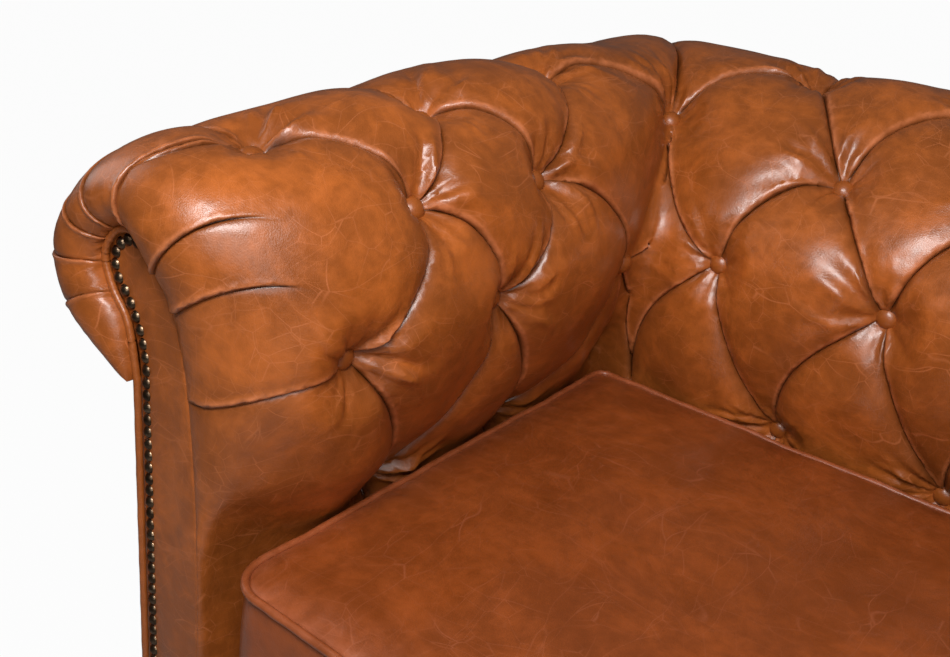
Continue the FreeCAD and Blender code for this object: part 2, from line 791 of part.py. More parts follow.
def make_dust_cover(places):
    """A thin cloth under the seat, between the feet."""
    edge = size("dust_cover_inset")
    low = size("foot_height") - size("dust_cover_thickness")
    x = half + facing_outer - edge
    y_low, y_high = front + edge, back_line + size("back_rail_inner") + size("rail_thickness") - edge
    cloth = Part.makeBox(2 * x, y_high - y_low, size("dust_cover_thickness"), V(-x, y_low, low))
    holes = [
        Part.makeCylinder(size("foot_neck_radius") + gap, size("dust_cover_thickness"), V(px, py, low))
        for px, py in places
    ]
    feature("dust_cover", cloth.cut(holes))


# Three loose cushions, each with a zip across its rear boxing.
def cushion_blank(x_mid, inset):
    """A crowned box with round front corners, smaller all round by inset."""
    piping = 1.75 * size("piping_radius")
    half_wide = (size("inside_width") / len(CUSHION_NAMES) - size("cushion_gap")) / 2 - piping - inset
    radius = size("cushion_corner") - inset
    tight = size("cushion_back_corner") - inset
    rest = size("deck_height") + gap + inset
    low = rest + piping
    high = piping_z - 0.75 * size("piping_radius") - inset
    y_front = back_line - size("cushion_depth") + piping + inset
    y_back = back_line - piping - inset
    wires = []
    for share in (0.0, 0.13, 0.45, 1.0, 3.0):
        for side in (-1, 1):
            from_end = share * radius
            cut_in = radius - math.sqrt(radius**2 - (radius - min(from_end, radius)) ** 2)
            cut_back = tight - math.sqrt(tight**2 - (tight - min(from_end, tight)) ** 2)
            x = side * (half_wide - from_end)
            wires.append((x, cut_in, cut_back))
    wires.append((0.0, 0.0, 0.0))
    wires.sort()
    sections = []
    for x, cut_in, cut_back in wires:
        crown = size("cushion_crown") * (1 - abs(x / half_wide) ** 3)
        bulge = size("cushion_bulge") * (1 - abs(x / half_wide) ** 6)
        near, far = y_front + cut_in, y_back - cut_back
        sag = piping * (1 - abs(x / half_wide) ** 3)
        corners = [V(x_mid + x, near, low), V(x_mid + x, far, low), V(x_mid + x, far, high), V(x_mid + x, near, high)]
        top = V(x_mid + x, (near + far) / 2, high + crown)
        belly = V(x_mid + x, near - bulge, (low + high) / 2)
        under = V(x_mid + x, (near + far) / 2, low - sag)
        curves = [
            arc_or_line(corners[0], under, corners[1]),
            Part.LineSegment(corners[1], corners[2]),
            arc_or_line(corners[2], top, corners[3]),
            arc_or_line(corners[3], belly, corners[0]),
        ]
        sections.append(Part.Wire([curve.toShape() for curve in curves]))
    return Part.makeLoft(sections, True, True)


def piping_ring(x_mid, z):
    """One closed ring of piping, with round front corners and tight back ones."""
    out = size("piping_radius") * 0.75
    half_wide = (size("inside_width") / len(CUSHION_NAMES) - size("cushion_gap")) / 2 - size("piping_radius")
    y_front = back_line - size("cushion_depth") + size("piping_radius")
    y_back = back_line - size("piping_radius")
    wide, tight = size("cushion_corner") + out, size("cushion_back_corner") + out
    left, right = x_mid - half_wide, x_mid + half_wide
    ring = [
        (V(right, (y_front + y_back) / 2, z), None),
        (V(right, y_back, z), tight),
        (V(left, y_back, z), tight),
        (V(left, y_front, z), wide),
        (V(right, y_front, z), wide),
    ]
    curves = []
    start = ring[0][0]
    for i in range(1, len(ring)):
        corner, radius = ring[i]
        before, after = ring[i - 1][0], ring[(i + 1) % len(ring)][0]
        into, out_of = (before - corner).normalize(), (after - corner).normalize()
        begin, end = corner + into * radius, corner + out_of * radius
        middle = corner + (into + out_of) * radius * (1 - math.sqrt(0.5))
        curves.append(Part.LineSegment(start, begin))
        curves.append(Part.Arc(begin, middle, end))
        start = end
    curves.append(Part.LineSegment(start, ring[0][0]))
    return tube(Part.Wire([curve.toShape() for curve in curves]), size("piping_radius"))


def make_cushions():
    pitch = size("inside_width") / len(CUSHION_NAMES)
    for k, word in enumerate(CUSHION_NAMES):
        x_mid = (k - (len(CUSHION_NAMES) - 1) / 2) * pitch
        core = cushion_blank(x_mid, leather)
        feature(f"cushion_cover_{word}", cushion_blank(x_mid, 0.0).cut(core))
        feature(f"cushion_foam_{word}", core)
        bottom = size("deck_height") + gap + size("piping_radius")
        rings = [piping_ring(x_mid, z) for z in (bottom, piping_z)]
        group(f"cushion_piping_{word}", rings)
        make_zip(x_mid, pitch, word)


def make_zip(x_mid, pitch, word):
    """A tape on the rear boxing, and the slider that runs along it, parked at one end."""
    face_y = back_line - 1.75 * size("piping_radius")
    z_mid = size("deck_height") + size("boxing_height") / 2
    length = pitch - 2 * size("zip_end_margin")
    tape_low = V(x_mid - length / 2, face_y, z_mid - size("zip_tape_height") / 2)
    tape = Part.makeBox(length, size("zip_tape_thickness"), size("zip_tape_height"), tape_low)
    feature(f"cushion_zip_tape_{word}", tape)
    y = face_y + size("zip_tape_thickness") + gap
    x = x_mid - length / 2 + size("zip_slider_length")
    slider = Part.makeBox(size("zip_slider_length"), size("zip_slider_depth"), size("zip_slider_height"),
                          V(x, y, z_mid - size("zip_slider_height") / 2))
    pull = Part.makeBox(size("zip_slider_length") / 2, size("zip_pull_thickness"), size("zip_pull_length"),
                        V(x + size("zip_slider_length") / 4, y + size("zip_slider_depth"),
                          z_mid - size("zip_pull_length")))
    feature(f"cushion_zip_slider_{word}", slider.fuse(pull))


make_frame()
make_padding()
make_arm_fronts()
make_buttons()
make_deck()
make_panels()
make_feet()
make_cushions()

doc.recompute()
bad = [o.Name for o in doc.Objects if "Invalid" in o.State or "Error" in o.State]
if bad:
    raise SystemExit(f"these objects failed: {bad}")
os.makedirs("parts", exist_ok=True)
for thing in NODES:
    shape = thing.Shape
    if shape.isNull() or not shape.isValid() or shape.Volume <= 0:
        print("BAD", thing.Label, shape.isNull(), shape.isNull() or shape.isValid())
    print(thing.Label, len(shape.Solids), len(shape.Faces), round(shape.Volume / 1e3), shape.BoundBox)
    shape.exportStep(f"parts/{thing.Label}.step")
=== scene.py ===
"""Looks of the tufted club sofa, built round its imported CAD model.

Lengths are millimetres in the sofa's own frame, and become metres where a mesh is made.
"""

import math
from types import SimpleNamespace

import bmesh
import bpy
import numpy as np
from bpy.props import FloatProperty, FloatVectorProperty, PointerProperty
from mathutils import Matrix, Vector
from mathutils.geometry import delaunay_2d_cdt
from mathutils.kdtree import KDTree


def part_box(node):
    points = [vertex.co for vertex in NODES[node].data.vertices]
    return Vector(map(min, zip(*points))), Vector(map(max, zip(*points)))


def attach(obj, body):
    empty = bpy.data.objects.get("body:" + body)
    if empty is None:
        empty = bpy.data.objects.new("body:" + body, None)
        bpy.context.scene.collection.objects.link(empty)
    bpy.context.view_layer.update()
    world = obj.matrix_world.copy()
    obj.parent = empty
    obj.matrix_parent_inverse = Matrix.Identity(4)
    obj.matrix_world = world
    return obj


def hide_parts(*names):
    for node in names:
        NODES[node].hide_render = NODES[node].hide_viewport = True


bl_info = {
    "name": "Tufted club sofa",
    "version": (1, 0, 0),
    "blender": (4, 5, 0),
    "location": "3D View > Sidebar > Sofa",
    "description": "Dresses the packed sofa in deep-buttoned leather",
    "category": "Object",
}

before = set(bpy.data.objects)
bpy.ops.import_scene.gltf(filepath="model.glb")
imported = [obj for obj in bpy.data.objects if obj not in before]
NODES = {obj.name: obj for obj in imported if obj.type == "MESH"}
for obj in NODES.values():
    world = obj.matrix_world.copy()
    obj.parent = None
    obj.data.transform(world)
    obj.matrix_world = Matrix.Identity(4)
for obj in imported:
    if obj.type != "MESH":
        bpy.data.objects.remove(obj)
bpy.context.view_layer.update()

MM = 0.001
SIDES = (("left", -1), ("right", 1))
CUSHION_WIDTH = 560.0
CUSHIONS = (("left", -CUSHION_WIDTH), ("middle", 0.0), ("right", CUSHION_WIDTH))

# Where the leather runs, as in the CAD model.
HALF = 1.5 * CUSHION_WIDTH  # from the middle to the cushions' outer edge
BACK_LINE = 111.8  # the cushions' back edge
PIPING = 455.0  # height of the cushions' upper piping
ROUND_START = 473.0  # from the back edge to where the leather turns round the arm's front
ROUND_LENGTH = 132.0
FRONT_ROUND = 80.0
FRONT_FALL = 14.0  # how much lower the roll's crest is at the arm's front

# Button level by stations, from the deck over the roll to the tacks behind it: out from the cushions and up
# from their piping, as shares of the reach and the rise.
ARM_REACH, BACK_REACH, RISE = 215.0, 322.0, 328.0
OUT = {
    "arm": (0.15, 0.175, -0.02, -0.14, -0.11, -0.02, 0.14, 0.35, 0.605, 0.86, 1.0, 0.93, 0.744, 0.53),
    "back": (0.10, 0.127, 0.056, 0.006, 0.078, 0.211, 0.388, 0.612, 0.792, 0.932, 1.0, 0.963, 0.839, 0.7),
    "facing": (
        0.186, 0.186, 0.195, 0.214, 0.242, 0.288, 0.335, 0.428, 0.521, 0.623, 0.693, 0.651, 0.567, 0.523
    ),
}
UP = {
    "arm": (-0.4715, -0.027, 0.26, 0.52, 0.686, 0.832, 0.939, 1.0, 0.99, 0.884, 0.716, 0.564, 0.457, 0.4),
    "facing": (
        -0.4715, -0.027, 0.122, 0.305, 0.457, 0.625, 0.726, 0.78, 0.799, 0.774, 0.701, 0.616, 0.543, 0.405
    ),
}
# At the same stations: the radius of the corner between arm and back, and how full the pillows are.
CORNER_ROUND = (10, 12, 26, 40, 26, 14, 18, 24, 70, 110, 130, 130, 125, 120)
PLUMP = (0.25, 0.85, 1.0, 1.0, 1.0, 1.0, 1.0, 0.92, 0.76, 0.76, 0.86, 0.95, 0.85, 0.4)
LAST_STATION = len(PLUMP) - 1

# Buttons as (along, station). Row 0 is on the roll, row 3 just under the cushions' piping.
ARM_ROWS = (
    ((82.0, 7.05), (278.0, 6.9), (466.0, 7.1)),
    ((190.0, 4.87), (362.0, 5.03)),
    ((34.0, 2.74), (273.0, 3.03), (464.0, 3.04)),
    ((177.0, 1.0), (364.0, 1.0)),
)
BACK_STEP = 180.25
BACK_STATIONS = (6.92, 4.9, 2.98, 1.0)
CORNER_STATION = 5.4
CROSS_STATION = 2.2  # where the folds from arm and back meet in the corner

# Folds gathered to the front edge of an arm: station, length, drift round the roll, bow, depth.
FRONT_FOLDS = (
    (5.05, 100, -32, -8, 2.0),
    (5.98, 98, -26, -14, 2.4),
    (7.72, 150, -44, -12, 2.4),
    (8.85, 112, -20, 4, 1.2),
    (9.4, 120, -8, 3, 1.1),
    (10.25, 122, 2, 2, 1.1),
    (11.1, 118, 12, 2, 1.0),
)

# Points of the leather: rows beside a fold, as the distance from it and one in how many of its points; rings
# round a button, as radius and number; and the finer grid round a button, as its share of the spacing and
# the distances between which it lies.
FOLD_ROWS = ((0.9, 1), (2.0, 1), (3.2, 1), (5.0, 1), (7.6, 2), (11.5, 2))
BUTTON_RINGS = ((4, 10), (8, 20), (12, 30), (16.5, 36), (22, 40), (29, 44), (37, 48))
FINE_SHARE, FINE_START, FINE_END = 0.45, 38.0, 88.0
FAR = 1e8

# Sprays of wrinkles at a button: middle and width of the spray as angles from the sofa's corner, upwards;
# their number, length and height.
SPRAYS = ((12, 42, 7, 84, 1.35), (95, 40, 5, 54, 0.95), (178, 34, 4, 50, 0.85), (268, 38, 5, 60, 0.85))

# The seat of a button against button level. The arm's button next to the corner is held by the back's
# leather too, and sits higher.
BUTTON_SEAT, SHARED_SEAT = -4.0, 11.0
SEAT_RADIUS = 9.5

# A covered button's half section, as (radius, height) from its top to its shank.
BUTTON_SECTION = ((0, 6.4), (3.0, 6.1), (6.0, 5.1), (8.6, 3.3), (10.6, 1.0), (11.5, -1.4), (11.2, -3.2),
                  (8.5, -5.0), (4.0, -6.0), (0, -6.2))

# A seat cushion's seam, across from its middle and in the sofa's own Y.
SEAM_HALF, SEAM_FRONT, SEAM_BACK = 273.6, -446.4, 105.4
SEAM_CORNER_FRONT, SEAM_CORNER_BACK = 34.0, 9.0
SEAM_STEP = 6.0
CUSHION_BOTTOM = 304.0
BAND_RINGS = 18

# The camera, fitted to the photo's buttons, piping and nails, with the picture taken as 950 pixels wide.
# Its place is from the middle of the cushions' back edge, at the height of their piping.
CAMERA_PLACE = (-294.0, -1012.0, 547.0)
CAMERA_YAW, CAMERA_PITCH, CAMERA_ROLL = 35.9, 23.2, 6.1
SENSOR_WIDTH = 36.0
PICTURE_PIXELS = 950
FOCAL_PIXELS = 1070.0
SHIFT_PIXELS = (-1.7, -17.9)

# The studio's softboxes: place, target and size in metres.
SOFTBOXES = {
    "key": ((-0.32, -1.0, 1.64), (-0.58, 0.18, 0.6), (0.7, 0.45)),
    "front": ((0.7, -1.85, 1.3), (-0.3, 0.25, 0.7), (1.3, 1.0)),
    "side": ((-2.5, -0.5, 1.2), (-1.0, -0.2, 0.7), (0.8, 1.0)),
    "rear": ((0.3, 2.3, 0.55), (0.0, 0.4, 0.4), (1.8, 0.6)),
}


# Small helpers


def linear_colour(text):
    """An sRGB hex colour as linear RGBA."""
    parts = [int(text[i : i + 2], 16) / 255 for i in (1, 3, 5)]
    linear = [c / 12.92 if c <= 0.04045 else ((c + 0.055) / 1.055) ** 2.4 for c in parts]
    return (*linear, 1.0)


def smooth(x, low, high):
    """0 below low, 1 above high, with a soft step between them."""
    t = np.clip((np.asarray(x, float) - low) / (high - low), 0, 1)
    return t * t * (3 - 2 * t)


def spline(values, at):
    """A smooth curve through evenly numbered values."""
    values = np.asarray(values, float)
    last = len(values) - 1
    at = np.clip(np.asarray(at, float), 0, last - 1e-9)
    i = np.floor(at).astype(int)
    f = at - i
    p1, p2 = values[i], values[i + 1]
    p0 = np.where(i > 0, values[np.maximum(i - 1, 0)], 2 * p1 - p2)
    p3 = np.where(i + 2 <= last, values[np.minimum(i + 2, last)], 2 * p2 - p1)
    cubic = (3 * p1 - p0 - 3 * p2 + p3) * f**3
    return 0.5 * (2 * p1 + (p2 - p0) * f + (2 * p0 - 5 * p1 + 4 * p2 - p3) * f**2 + cubic)


def profile_out(kind, station):
    """How far out from the cushions button level is at a station."""
    return spline(OUT[kind], station) * (BACK_REACH if kind == "back" else ARM_REACH)


def profile_up(kind, station):
    """How far above the cushions' piping button level is at a station."""
    return spline(UP["facing" if kind == "facing" else "arm"], station) * RISE


STATIONS = np.linspace(0, LAST_STATION, 1301)
MITRE = np.linspace(0, LAST_STATION, 261)
SECTION = np.stack([profile_out("arm", STATIONS), profile_up("arm", STATIONS)], 1)
GIRTH = np.concatenate([[0], np.cumsum(np.linalg.norm(np.diff(SECTION, axis=0), axis=1))])


def girth(station):
    """Distance round the roll from the deck to a station."""
    return np.interp(station, STATIONS, GIRTH)


def station_at(distance):
    """The station at a distance round the roll from the deck."""
    return np.interp(distance, GIRTH, STATIONS)


def round_corner(x, y, past, station, side):
    """Rounds the corner between an arm and the back. past is the distance past the mitre."""
    radius = spline(CORNER_ROUND, station)
    angle = np.clip((past / radius + 1) / 2, 0, 1) * math.pi / 2
    corner_x = side * (HALF + profile_out("arm", station))
    corner_y = BACK_LINE + profile_out("back", station)
    inside = np.abs(past) < radius
    x = np.where(inside, corner_x - side * radius * (1 - np.cos(angle)), x)
    y = np.where(inside, corner_y - radius * (1 - np.sin(angle)), y)
    return x, y


def place_arm(side, along, station):
    """Places on an arm at button level. along is the distance in front of the cushions' back edge."""
    out, up = profile_out("arm", station), profile_up("arm", station)
    edge_out, edge_up = profile_out("facing", station), profile_up("facing", station)
    crest = smooth(station, 4.6, 6.6) * (1 - smooth(station, 9.0, 11.5))
    up = up - FRONT_FALL * smooth(along, 200, 400) * crest
    head = smooth(station, 3.5, 7.0)
    angle = np.clip((along - ROUND_START) / ROUND_LENGTH, 0, 1) * math.pi / 2
    share = np.cos(angle)
    bulge = 3.0 + 21.0 * head
    ahead = np.minimum(along, ROUND_START) + FRONT_ROUND * np.sin(angle) + bulge * np.sin(2 * angle)
    x = side * (HALF + edge_out + (out - edge_out) * share)
    y = BACK_LINE - ahead
    z = PIPING + edge_up + (up - edge_up) * share
    past = -(along + profile_out("back", station))
    x, y = round_corner(x, y, past, station, side)
    return np.stack([x, y, z], 1)


def place_back(across, station):
    """Places on the back at button level. across is the distance from the sofa's middle."""
    side = np.where(across < 0, -1.0, 1.0)
    y = BACK_LINE + profile_out("back", station)
    z = PIPING + profile_up("arm", station)
    past = HALF + profile_out("arm", station) - np.abs(across)
    x, y = round_corner(across, y, past, station, side)
    return np.stack([x, y, z], 1)


def waves(points, length, seed, count=14):
    """A smooth irregular field of about unit height, from waves that run in all directions."""
    rng = np.random.default_rng(seed)
    total = np.zeros(len(points))
    for _ in range(count):
        heading = rng.normal(size=points.shape[1])
        heading *= 2 * math.pi / (length * rng.uniform(0.7, 1.6)) / np.linalg.norm(heading)
        total += np.sin(points @ heading + rng.uniform(0, 2 * math.pi))
    return total / math.sqrt(count / 2)


# The buttoned hide: flat plans with their pleats


class Pleat:
    """A fold between two places of a flat plan, given as (along, distance round the roll).

    over is 1 where the leather on the left of the fold, seen from its start, lies on top. fade is for a fold
    that dies out towards its end. reach is the part of a longer fold that this one is, and sets how its
    bottom rises between two buttons. seam is for a fold on the edge of a plan.
    """

    def __init__(self, start, end, bow=0.0, over=None, fade=False, depth=1.0, reach=(0.0, 1.0), seam=None):
        self.start, self.end = np.array(start, float), np.array(end, float)
        self.bow, self.fade, self.depth, self.reach, self.seam = bow, fade, depth, reach, seam
        self.over = over if over is not None else (1.0 if self.end[0] >= self.start[0] else -1.0)

    def points(self, step):
        if self.seam is not None:
            return self.seam
        run = self.end - self.start
        length = np.linalg.norm(run)
        share = np.linspace(0, 1, max(3, int(round(length / step)) + 1))[:, None]
        aside = np.array([-run[1], run[0]]) / length
        return self.start + run * share + aside * self.bow * 4 * share * (1 - share)


def nearest_pleat(pleats, points):
    """For each point: its pleat, the distance, the side, the share of the pleat's length."""
    samples, owners, shares, tangents, ends = [], [], [], [], []
    for k, pleat in enumerate(pleats):
        p = pleat.points(1.5)
        t = np.gradient(p, axis=0)
        t /= np.linalg.norm(t, axis=1)[:, None]
        samples.append(p)
        tangents.append(t)
        owners.append(np.full(len(p), k))
        shares.append(np.linspace(0, 1, len(p)))
        at_end = np.zeros(len(p))
        at_end[0], at_end[-1] = -1, 1
        ends.append(at_end)
    samples, tangents, ends = np.concatenate(samples), np.concatenate(tangents), np.concatenate(ends)
    owners, shares = np.concatenate(owners), np.concatenate(shares)
    tree = KDTree(len(samples))
    for i, (x, y) in enumerate(samples):
        tree.insert((x, y, 0), i)
    tree.balance()
    which = np.array([tree.find((x, y, 0))[1] for x, y in points])
    away = points - samples[which]
    t = tangents[which]
    cross = t[:, 0] * away[:, 1] - t[:, 1] * away[:, 0]
    ahead = (t * away).sum(1)
    slack = np.where(ends[which] * ahead > 0, 0.0, 0.9)
    distance = np.hypot(cross, np.maximum(np.abs(ahead) - slack, 0))
    return owners[which], distance, np.where(cross >= 0, 1.0, -1.0), shares[which]


def even_grid(low, high, pitch):
    """Points of an even triangular grid in a box."""
    across = np.arange(low[0], high[0], pitch)
    up = np.arange(low[1], high[1], pitch * 0.866)
    x, y = np.meshgrid(across, up, indexing="ij")
    x = x + (np.arange(x.shape[1]) % 2)[None, :] * pitch / 2
    return np.stack([x.ravel(), y.ravel()], 1)


def triangulate(points, edges, kind):
    """Points and triangles of a flat outline. kind is how mathutils keeps its inside."""
    result = delaunay_2d_cdt([Vector(p) for p in points], edges, [], kind, 1e-4)
    flat = np.array([tuple(v) for v in result[0]])
    return flat, np.array([tuple(f) for f in result[2] if len(f) == 3], int)


def cut_plan(outline, inside, pleats, buttons, spacing):
    """Points and triangles of a flat plan, with rows of points beside folds and rings round buttons."""
    chains, edges, count = [outline], [], len(outline)
    edges.extend((i, (i + 1) % count) for i in range(count))
    for pleat in pleats:
        if pleat.seam is None:
            p = pleat.points(4.0)
            chains.append(p)
            edges.extend((count + i, count + i + 1) for i in range(len(p) - 1))
            count += len(p)
    loose = []
    for offset, every in FOLD_ROWS:
        for pleat in pleats:
            p = pleat.points(4.0)
            t = np.gradient(p, axis=0)
            t /= np.linalg.norm(t, axis=1)[:, None]
            aside = np.stack([-t[:, 1], t[:, 0]], 1)
            for sign in (-1, 1):
                loose.append(((p + aside * offset * sign)[::every], offset * 0.9))
    for centre in buttons:
        for radius, number in BUTTON_RINGS:
            angle = np.arange(number) * 2 * math.pi / number + radius
            ring = centre + radius * np.stack([np.cos(angle), np.sin(angle)], 1)
            loose.append((ring, min(radius * 0.3, 3.0)))
    low, high = outline.min(0), outline.max(0)
    for pitch, start, end in ((spacing * FINE_SHARE, FINE_START, FINE_END), (spacing, FINE_END, FAR)):
        grid = even_grid(low, high, pitch)
        away = np.full(len(grid), FAR - 1)
        for centre in buttons:
            away = np.minimum(away, np.linalg.norm(grid - centre, axis=1))
        beyond = FOLD_ROWS[-1][0] + pitch * 0.6
        loose.append((grid[(away > start + pitch * 0.6) & (away < end)], beyond))
    points = np.concatenate([q for q, _ in loose])
    clear = np.concatenate([np.full(len(q), c) for q, c in loose])
    keep = inside(points, 2.5)
    points, clear = points[keep], clear[keep]
    _, distance, _, _ = nearest_pleat(pleats, points)
    points = points[distance >= clear]
    # one point in each square of 1.7 mm
    cell = np.round(points / 1.7).astype(np.int64)
    _, first = np.unique(cell[:, 0] * 100003 + cell[:, 1], return_index=True)
    return triangulate(np.concatenate(chains + [points[np.sort(first)]]), edges, 1)


def crease_share(pleat, share):
    """How far up its saddle the bottom of a fold is."""
    a, b = pleat.reach
    return np.sin(math.pi * np.clip(a + (b - a) * share, 0, 1))


def lattice_fold(upper, lower, side, outward, inward):
    """A fold from a button to one in the row below. It bows towards the corner of the sofa on its side, more
    where it runs down towards that corner than where it runs away from it."""
    run = np.array(lower, float) - np.array(upper, float)
    share = outward if run[0] * side > 0 else inward
    return Pleat(upper, lower, bow=side * share * float(np.linalg.norm(run)))


def arm_plan():
    """The flat plan of an arm's leather: along the arm, and round it."""
    end = ROUND_START + ROUND_LENGTH
    top = float(girth(LAST_STATION))
    mitre = np.stack([-profile_out("back", MITRE), girth(MITRE)], 1)
    tack = [(t, top) for t in np.linspace(mitre[-1, 0], end, 110)[1:-1]]
    front = [(end, w) for w in np.linspace(top, 0, 220)]
    deck = [(t, 0.0) for t in np.linspace(end, mitre[0, 0], 90)[1:-1]]
    outline = np.concatenate([mitre, tack, front, deck])

    def inside(p, margin):
        edge = -profile_out("back", station_at(p[:, 1]))
        within = (p[:, 0] > edge + margin) & (p[:, 0] < end - margin)
        return within & (p[:, 1] > margin) & (p[:, 1] < top - margin)

    rows = [[(t, float(girth(s))) for t, s in row] for row in ARM_ROWS]
    corner = (-float(profile_out("back", CORNER_STATION)), float(girth(CORNER_STATION)))
    cross = (-float(profile_out("back", CROSS_STATION)), float(girth(CROSS_STATION)))
    foot = (-float(profile_out("back", 1.0)) + 4, float(girth(1.0)))
    pleats = []
    for k, button in enumerate(rows[0]):
        for other in (k - 1, k):
            if 0 <= other < 2:
                pleats.append(lattice_fold(button, rows[1][other], -1, 0.12, 0.06))
        lean = (22, 26, 4)[k]
        pleats.append(Pleat(button, (button[0] + lean, top - 0.5), bow=-6, depth=0.8, reach=(0, 0.75)))
    for k, button in enumerate(rows[2]):
        for other in (k - 1, k):
            if 0 <= other < 2:
                pleats.append(lattice_fold(rows[1][other], button, -1, 0.12, 0.06))
                pleats.append(lattice_fold(button, rows[3][other], -1, 0.1, 0.05))
    for button in rows[3]:
        pleats.append(Pleat(button, (button[0], 0.5), depth=0.7, reach=(0, 0.8)))
    pleats.append(lattice_fold(rows[0][0], corner, -1, 0.13, 0.0))
    pleats.append(lattice_fold(corner, rows[2][0], -1, 0.0, 0.1))
    pleats.append(Pleat(rows[2][0], cross, over=-1.0, reach=(0, 0.4)))
    pleats.append(Pleat(rows[2][0], foot, over=1.0, bow=3))
    pleats.append(Pleat(rows[2][2], (end - 0.4, float(girth(3.75))), bow=-14, depth=1.3, reach=(0, 0.85)))
    short = (rows[0][2][0] + 75, float(girth(7.55)))
    pleats.append(Pleat(rows[0][2], short, bow=-6, over=1.0, fade=True, depth=1.0))
    for station, reach, drift, bow, depth in FRONT_FOLDS:
        start = (end - 0.4, float(girth(station)))
        pleats.append(Pleat(start, (start[0] - reach, start[1] + drift), bow, -1.0, True, depth))
    above = MITRE[(MITRE >= CORNER_STATION)]
    seam = np.stack([-profile_out("back", above), girth(above)], 1)
    pleats.append(Pleat(seam[0], seam[-1], over=0.0, depth=0.9, reach=(0, 0.7), seam=seam))
    buttons = [np.array(b) for row in rows for b in row]
    return outline, inside, pleats, buttons, [np.array(corner)]


def back_plan():
    """The flat plan of the back's leather: across the sofa, and round the roll."""
    top = float(girth(LAST_STATION))
    edge = HALF + profile_out("arm", MITRE)
    left = np.stack([-edge, girth(MITRE)], 1)
    right = np.stack([edge, girth(MITRE)], 1)[::-1]
    tack = [(x, top) for x in np.linspace(-edge[-1], edge[-1], 330)[1:-1]]
    deck = [(x, 0.0) for x in np.linspace(edge[0], -edge[0], 300)[1:-1]]
    outline = np.concatenate([left, tack, right, deck])

    def inside(p, margin):
        limit = HALF + profile_out("arm", station_at(p[:, 1]))
        return (np.abs(p[:, 0]) < limit - margin) & (p[:, 1] > margin) & (p[:, 1] < top - margin)

    level = [float(girth(s)) for s in BACK_STATIONS]
    on = [(k - 4) * BACK_STEP for k in range(9)]
    between = [(k - 3.5) * BACK_STEP for k in range(8)]
    corner_x = HALF + float(profile_out("arm", CORNER_STATION))
    corner_w = float(girth(CORNER_STATION))
    cross = (HALF + float(profile_out("arm", CROSS_STATION)), float(girth(CROSS_STATION)))
    foot = (815.0, float(girth(0.97)))
    pleats, buttons = [], []
    for k, x in enumerate(on):
        buttons += [(x, level[0]), (x, level[2])]
        for other in (k - 1, k):
            if 0 <= other < 8:
                b = between[other]
                side = -1 if x + b < 0 else 1
                pleats.append(lattice_fold((x, level[0]), (b, level[1]), side, 0.15, 0.0))
                pleats.append(lattice_fold((b, level[1]), (x, level[2]), side, 0.17, -0.01))
                pleats.append(lattice_fold((x, level[2]), (b, level[3]), side, 0.16, 0.02))
            else:
                side = -1 if other < 0 else 1
                pleats.append(lattice_fold((x, level[0]), (side * corner_x, corner_w), side, 0.15, 0.0))
                pleats.append(lattice_fold((side * corner_x, corner_w), (x, level[2]), side, 0.0, 0.08))
                pleats.append(lattice_fold((x, level[2]), (side * foot[0], foot[1]), side, 0.15, 0.0))
        pleats.append(Pleat((x, level[0]), (x, top - 0.5), depth=0.8, reach=(0, 0.75)))
    for b in between:
        buttons += [(b, level[1]), (b, level[3])]
        pleats.append(Pleat((b, level[3]), (b, 0.5), depth=0.7, reach=(0, 0.8)))
    for side in (-1, 1):
        start = (side * cross[0], cross[1])
        pleats.append(Pleat(start, (side * foot[0], foot[1]), over=-side, reach=(0.4, 1.0)))
        above = MITRE[(MITRE >= CORNER_STATION)]
        seam = np.stack([side * (HALF + profile_out("arm", above)), girth(above)], 1)
        pleats.append(Pleat(seam[0], seam[-1], over=0.0, depth=0.9, reach=(0, 0.7), seam=seam))
    corners = [np.array((side * corner_x, corner_w)) for side in (-1, 1)]
    return outline, inside, pleats, [np.array(b) for b in buttons], corners


# The buttoned hide in space


def vertex_normals(points, faces):
    """Unit normals of a surface at its points, from the first three points of each face."""
    a, b, c = points[faces[:, 0]], points[faces[:, 1]], points[faces[:, 2]]
    n = np.cross(b - a, c - a)
    total = np.zeros_like(points)
    for k in range(3):
        for axis in range(3):
            total[:, axis] += np.bincount(faces[:, k], n[:, axis], len(points))
    return total / np.maximum(np.linalg.norm(total, axis=1), 1e-12)[:, None]


def spring_net(points, faces):
    """The edges of a surface, their stiffness and the area round each point."""
    first, second, weight = [], [], []
    area = np.zeros(len(points))
    for k in range(3):
        i, j, o = faces[:, k], faces[:, (k + 1) % 3], faces[:, (k + 2) % 3]
        u, v = points[i] - points[o], points[j] - points[o]
        cross = np.linalg.norm(np.cross(u, v), axis=1)
        weight.append(np.clip(0.5 * (u * v).sum(1) / np.maximum(cross, 1e-9), 0.02, 20))
        first.append(i)
        second.append(j)
        area += np.bincount(i, cross / 6, len(points))
    return np.concatenate(first), np.concatenate(second), np.concatenate(weight), area


def relax(net, load, fixed, values, rounds=900):
    """The height of a loaded net that is held at some points, by conjugate gradients."""
    first, second, weight, area = net
    n = len(area)
    diagonal = np.bincount(first, weight, n) + np.bincount(second, weight, n)
    free = ~fixed
    x = np.where(fixed, values, 0.0)

    def pull(v):
        flow = weight * (v[first] - v[second])
        return np.bincount(first, flow, n) - np.bincount(second, flow, n)

    r = np.where(free, load - pull(x), 0.0)
    m = np.where(free, 1 / np.maximum(diagonal, 1e-9), 0.0)
    z = m * r
    p = z.copy()
    rz = r @ z
    start = math.sqrt(r @ r) + 1e-30
    for _ in range(rounds):
        ap = np.where(free, pull(p), 0.0)
        a = rz / (p @ ap)
        x += a * p
        r -= a * ap
        if math.sqrt(r @ r) < start * 2e-5:
            break
        z = m * r
        rz, old = r @ z, rz
        p = z + rz / old * p
    return x


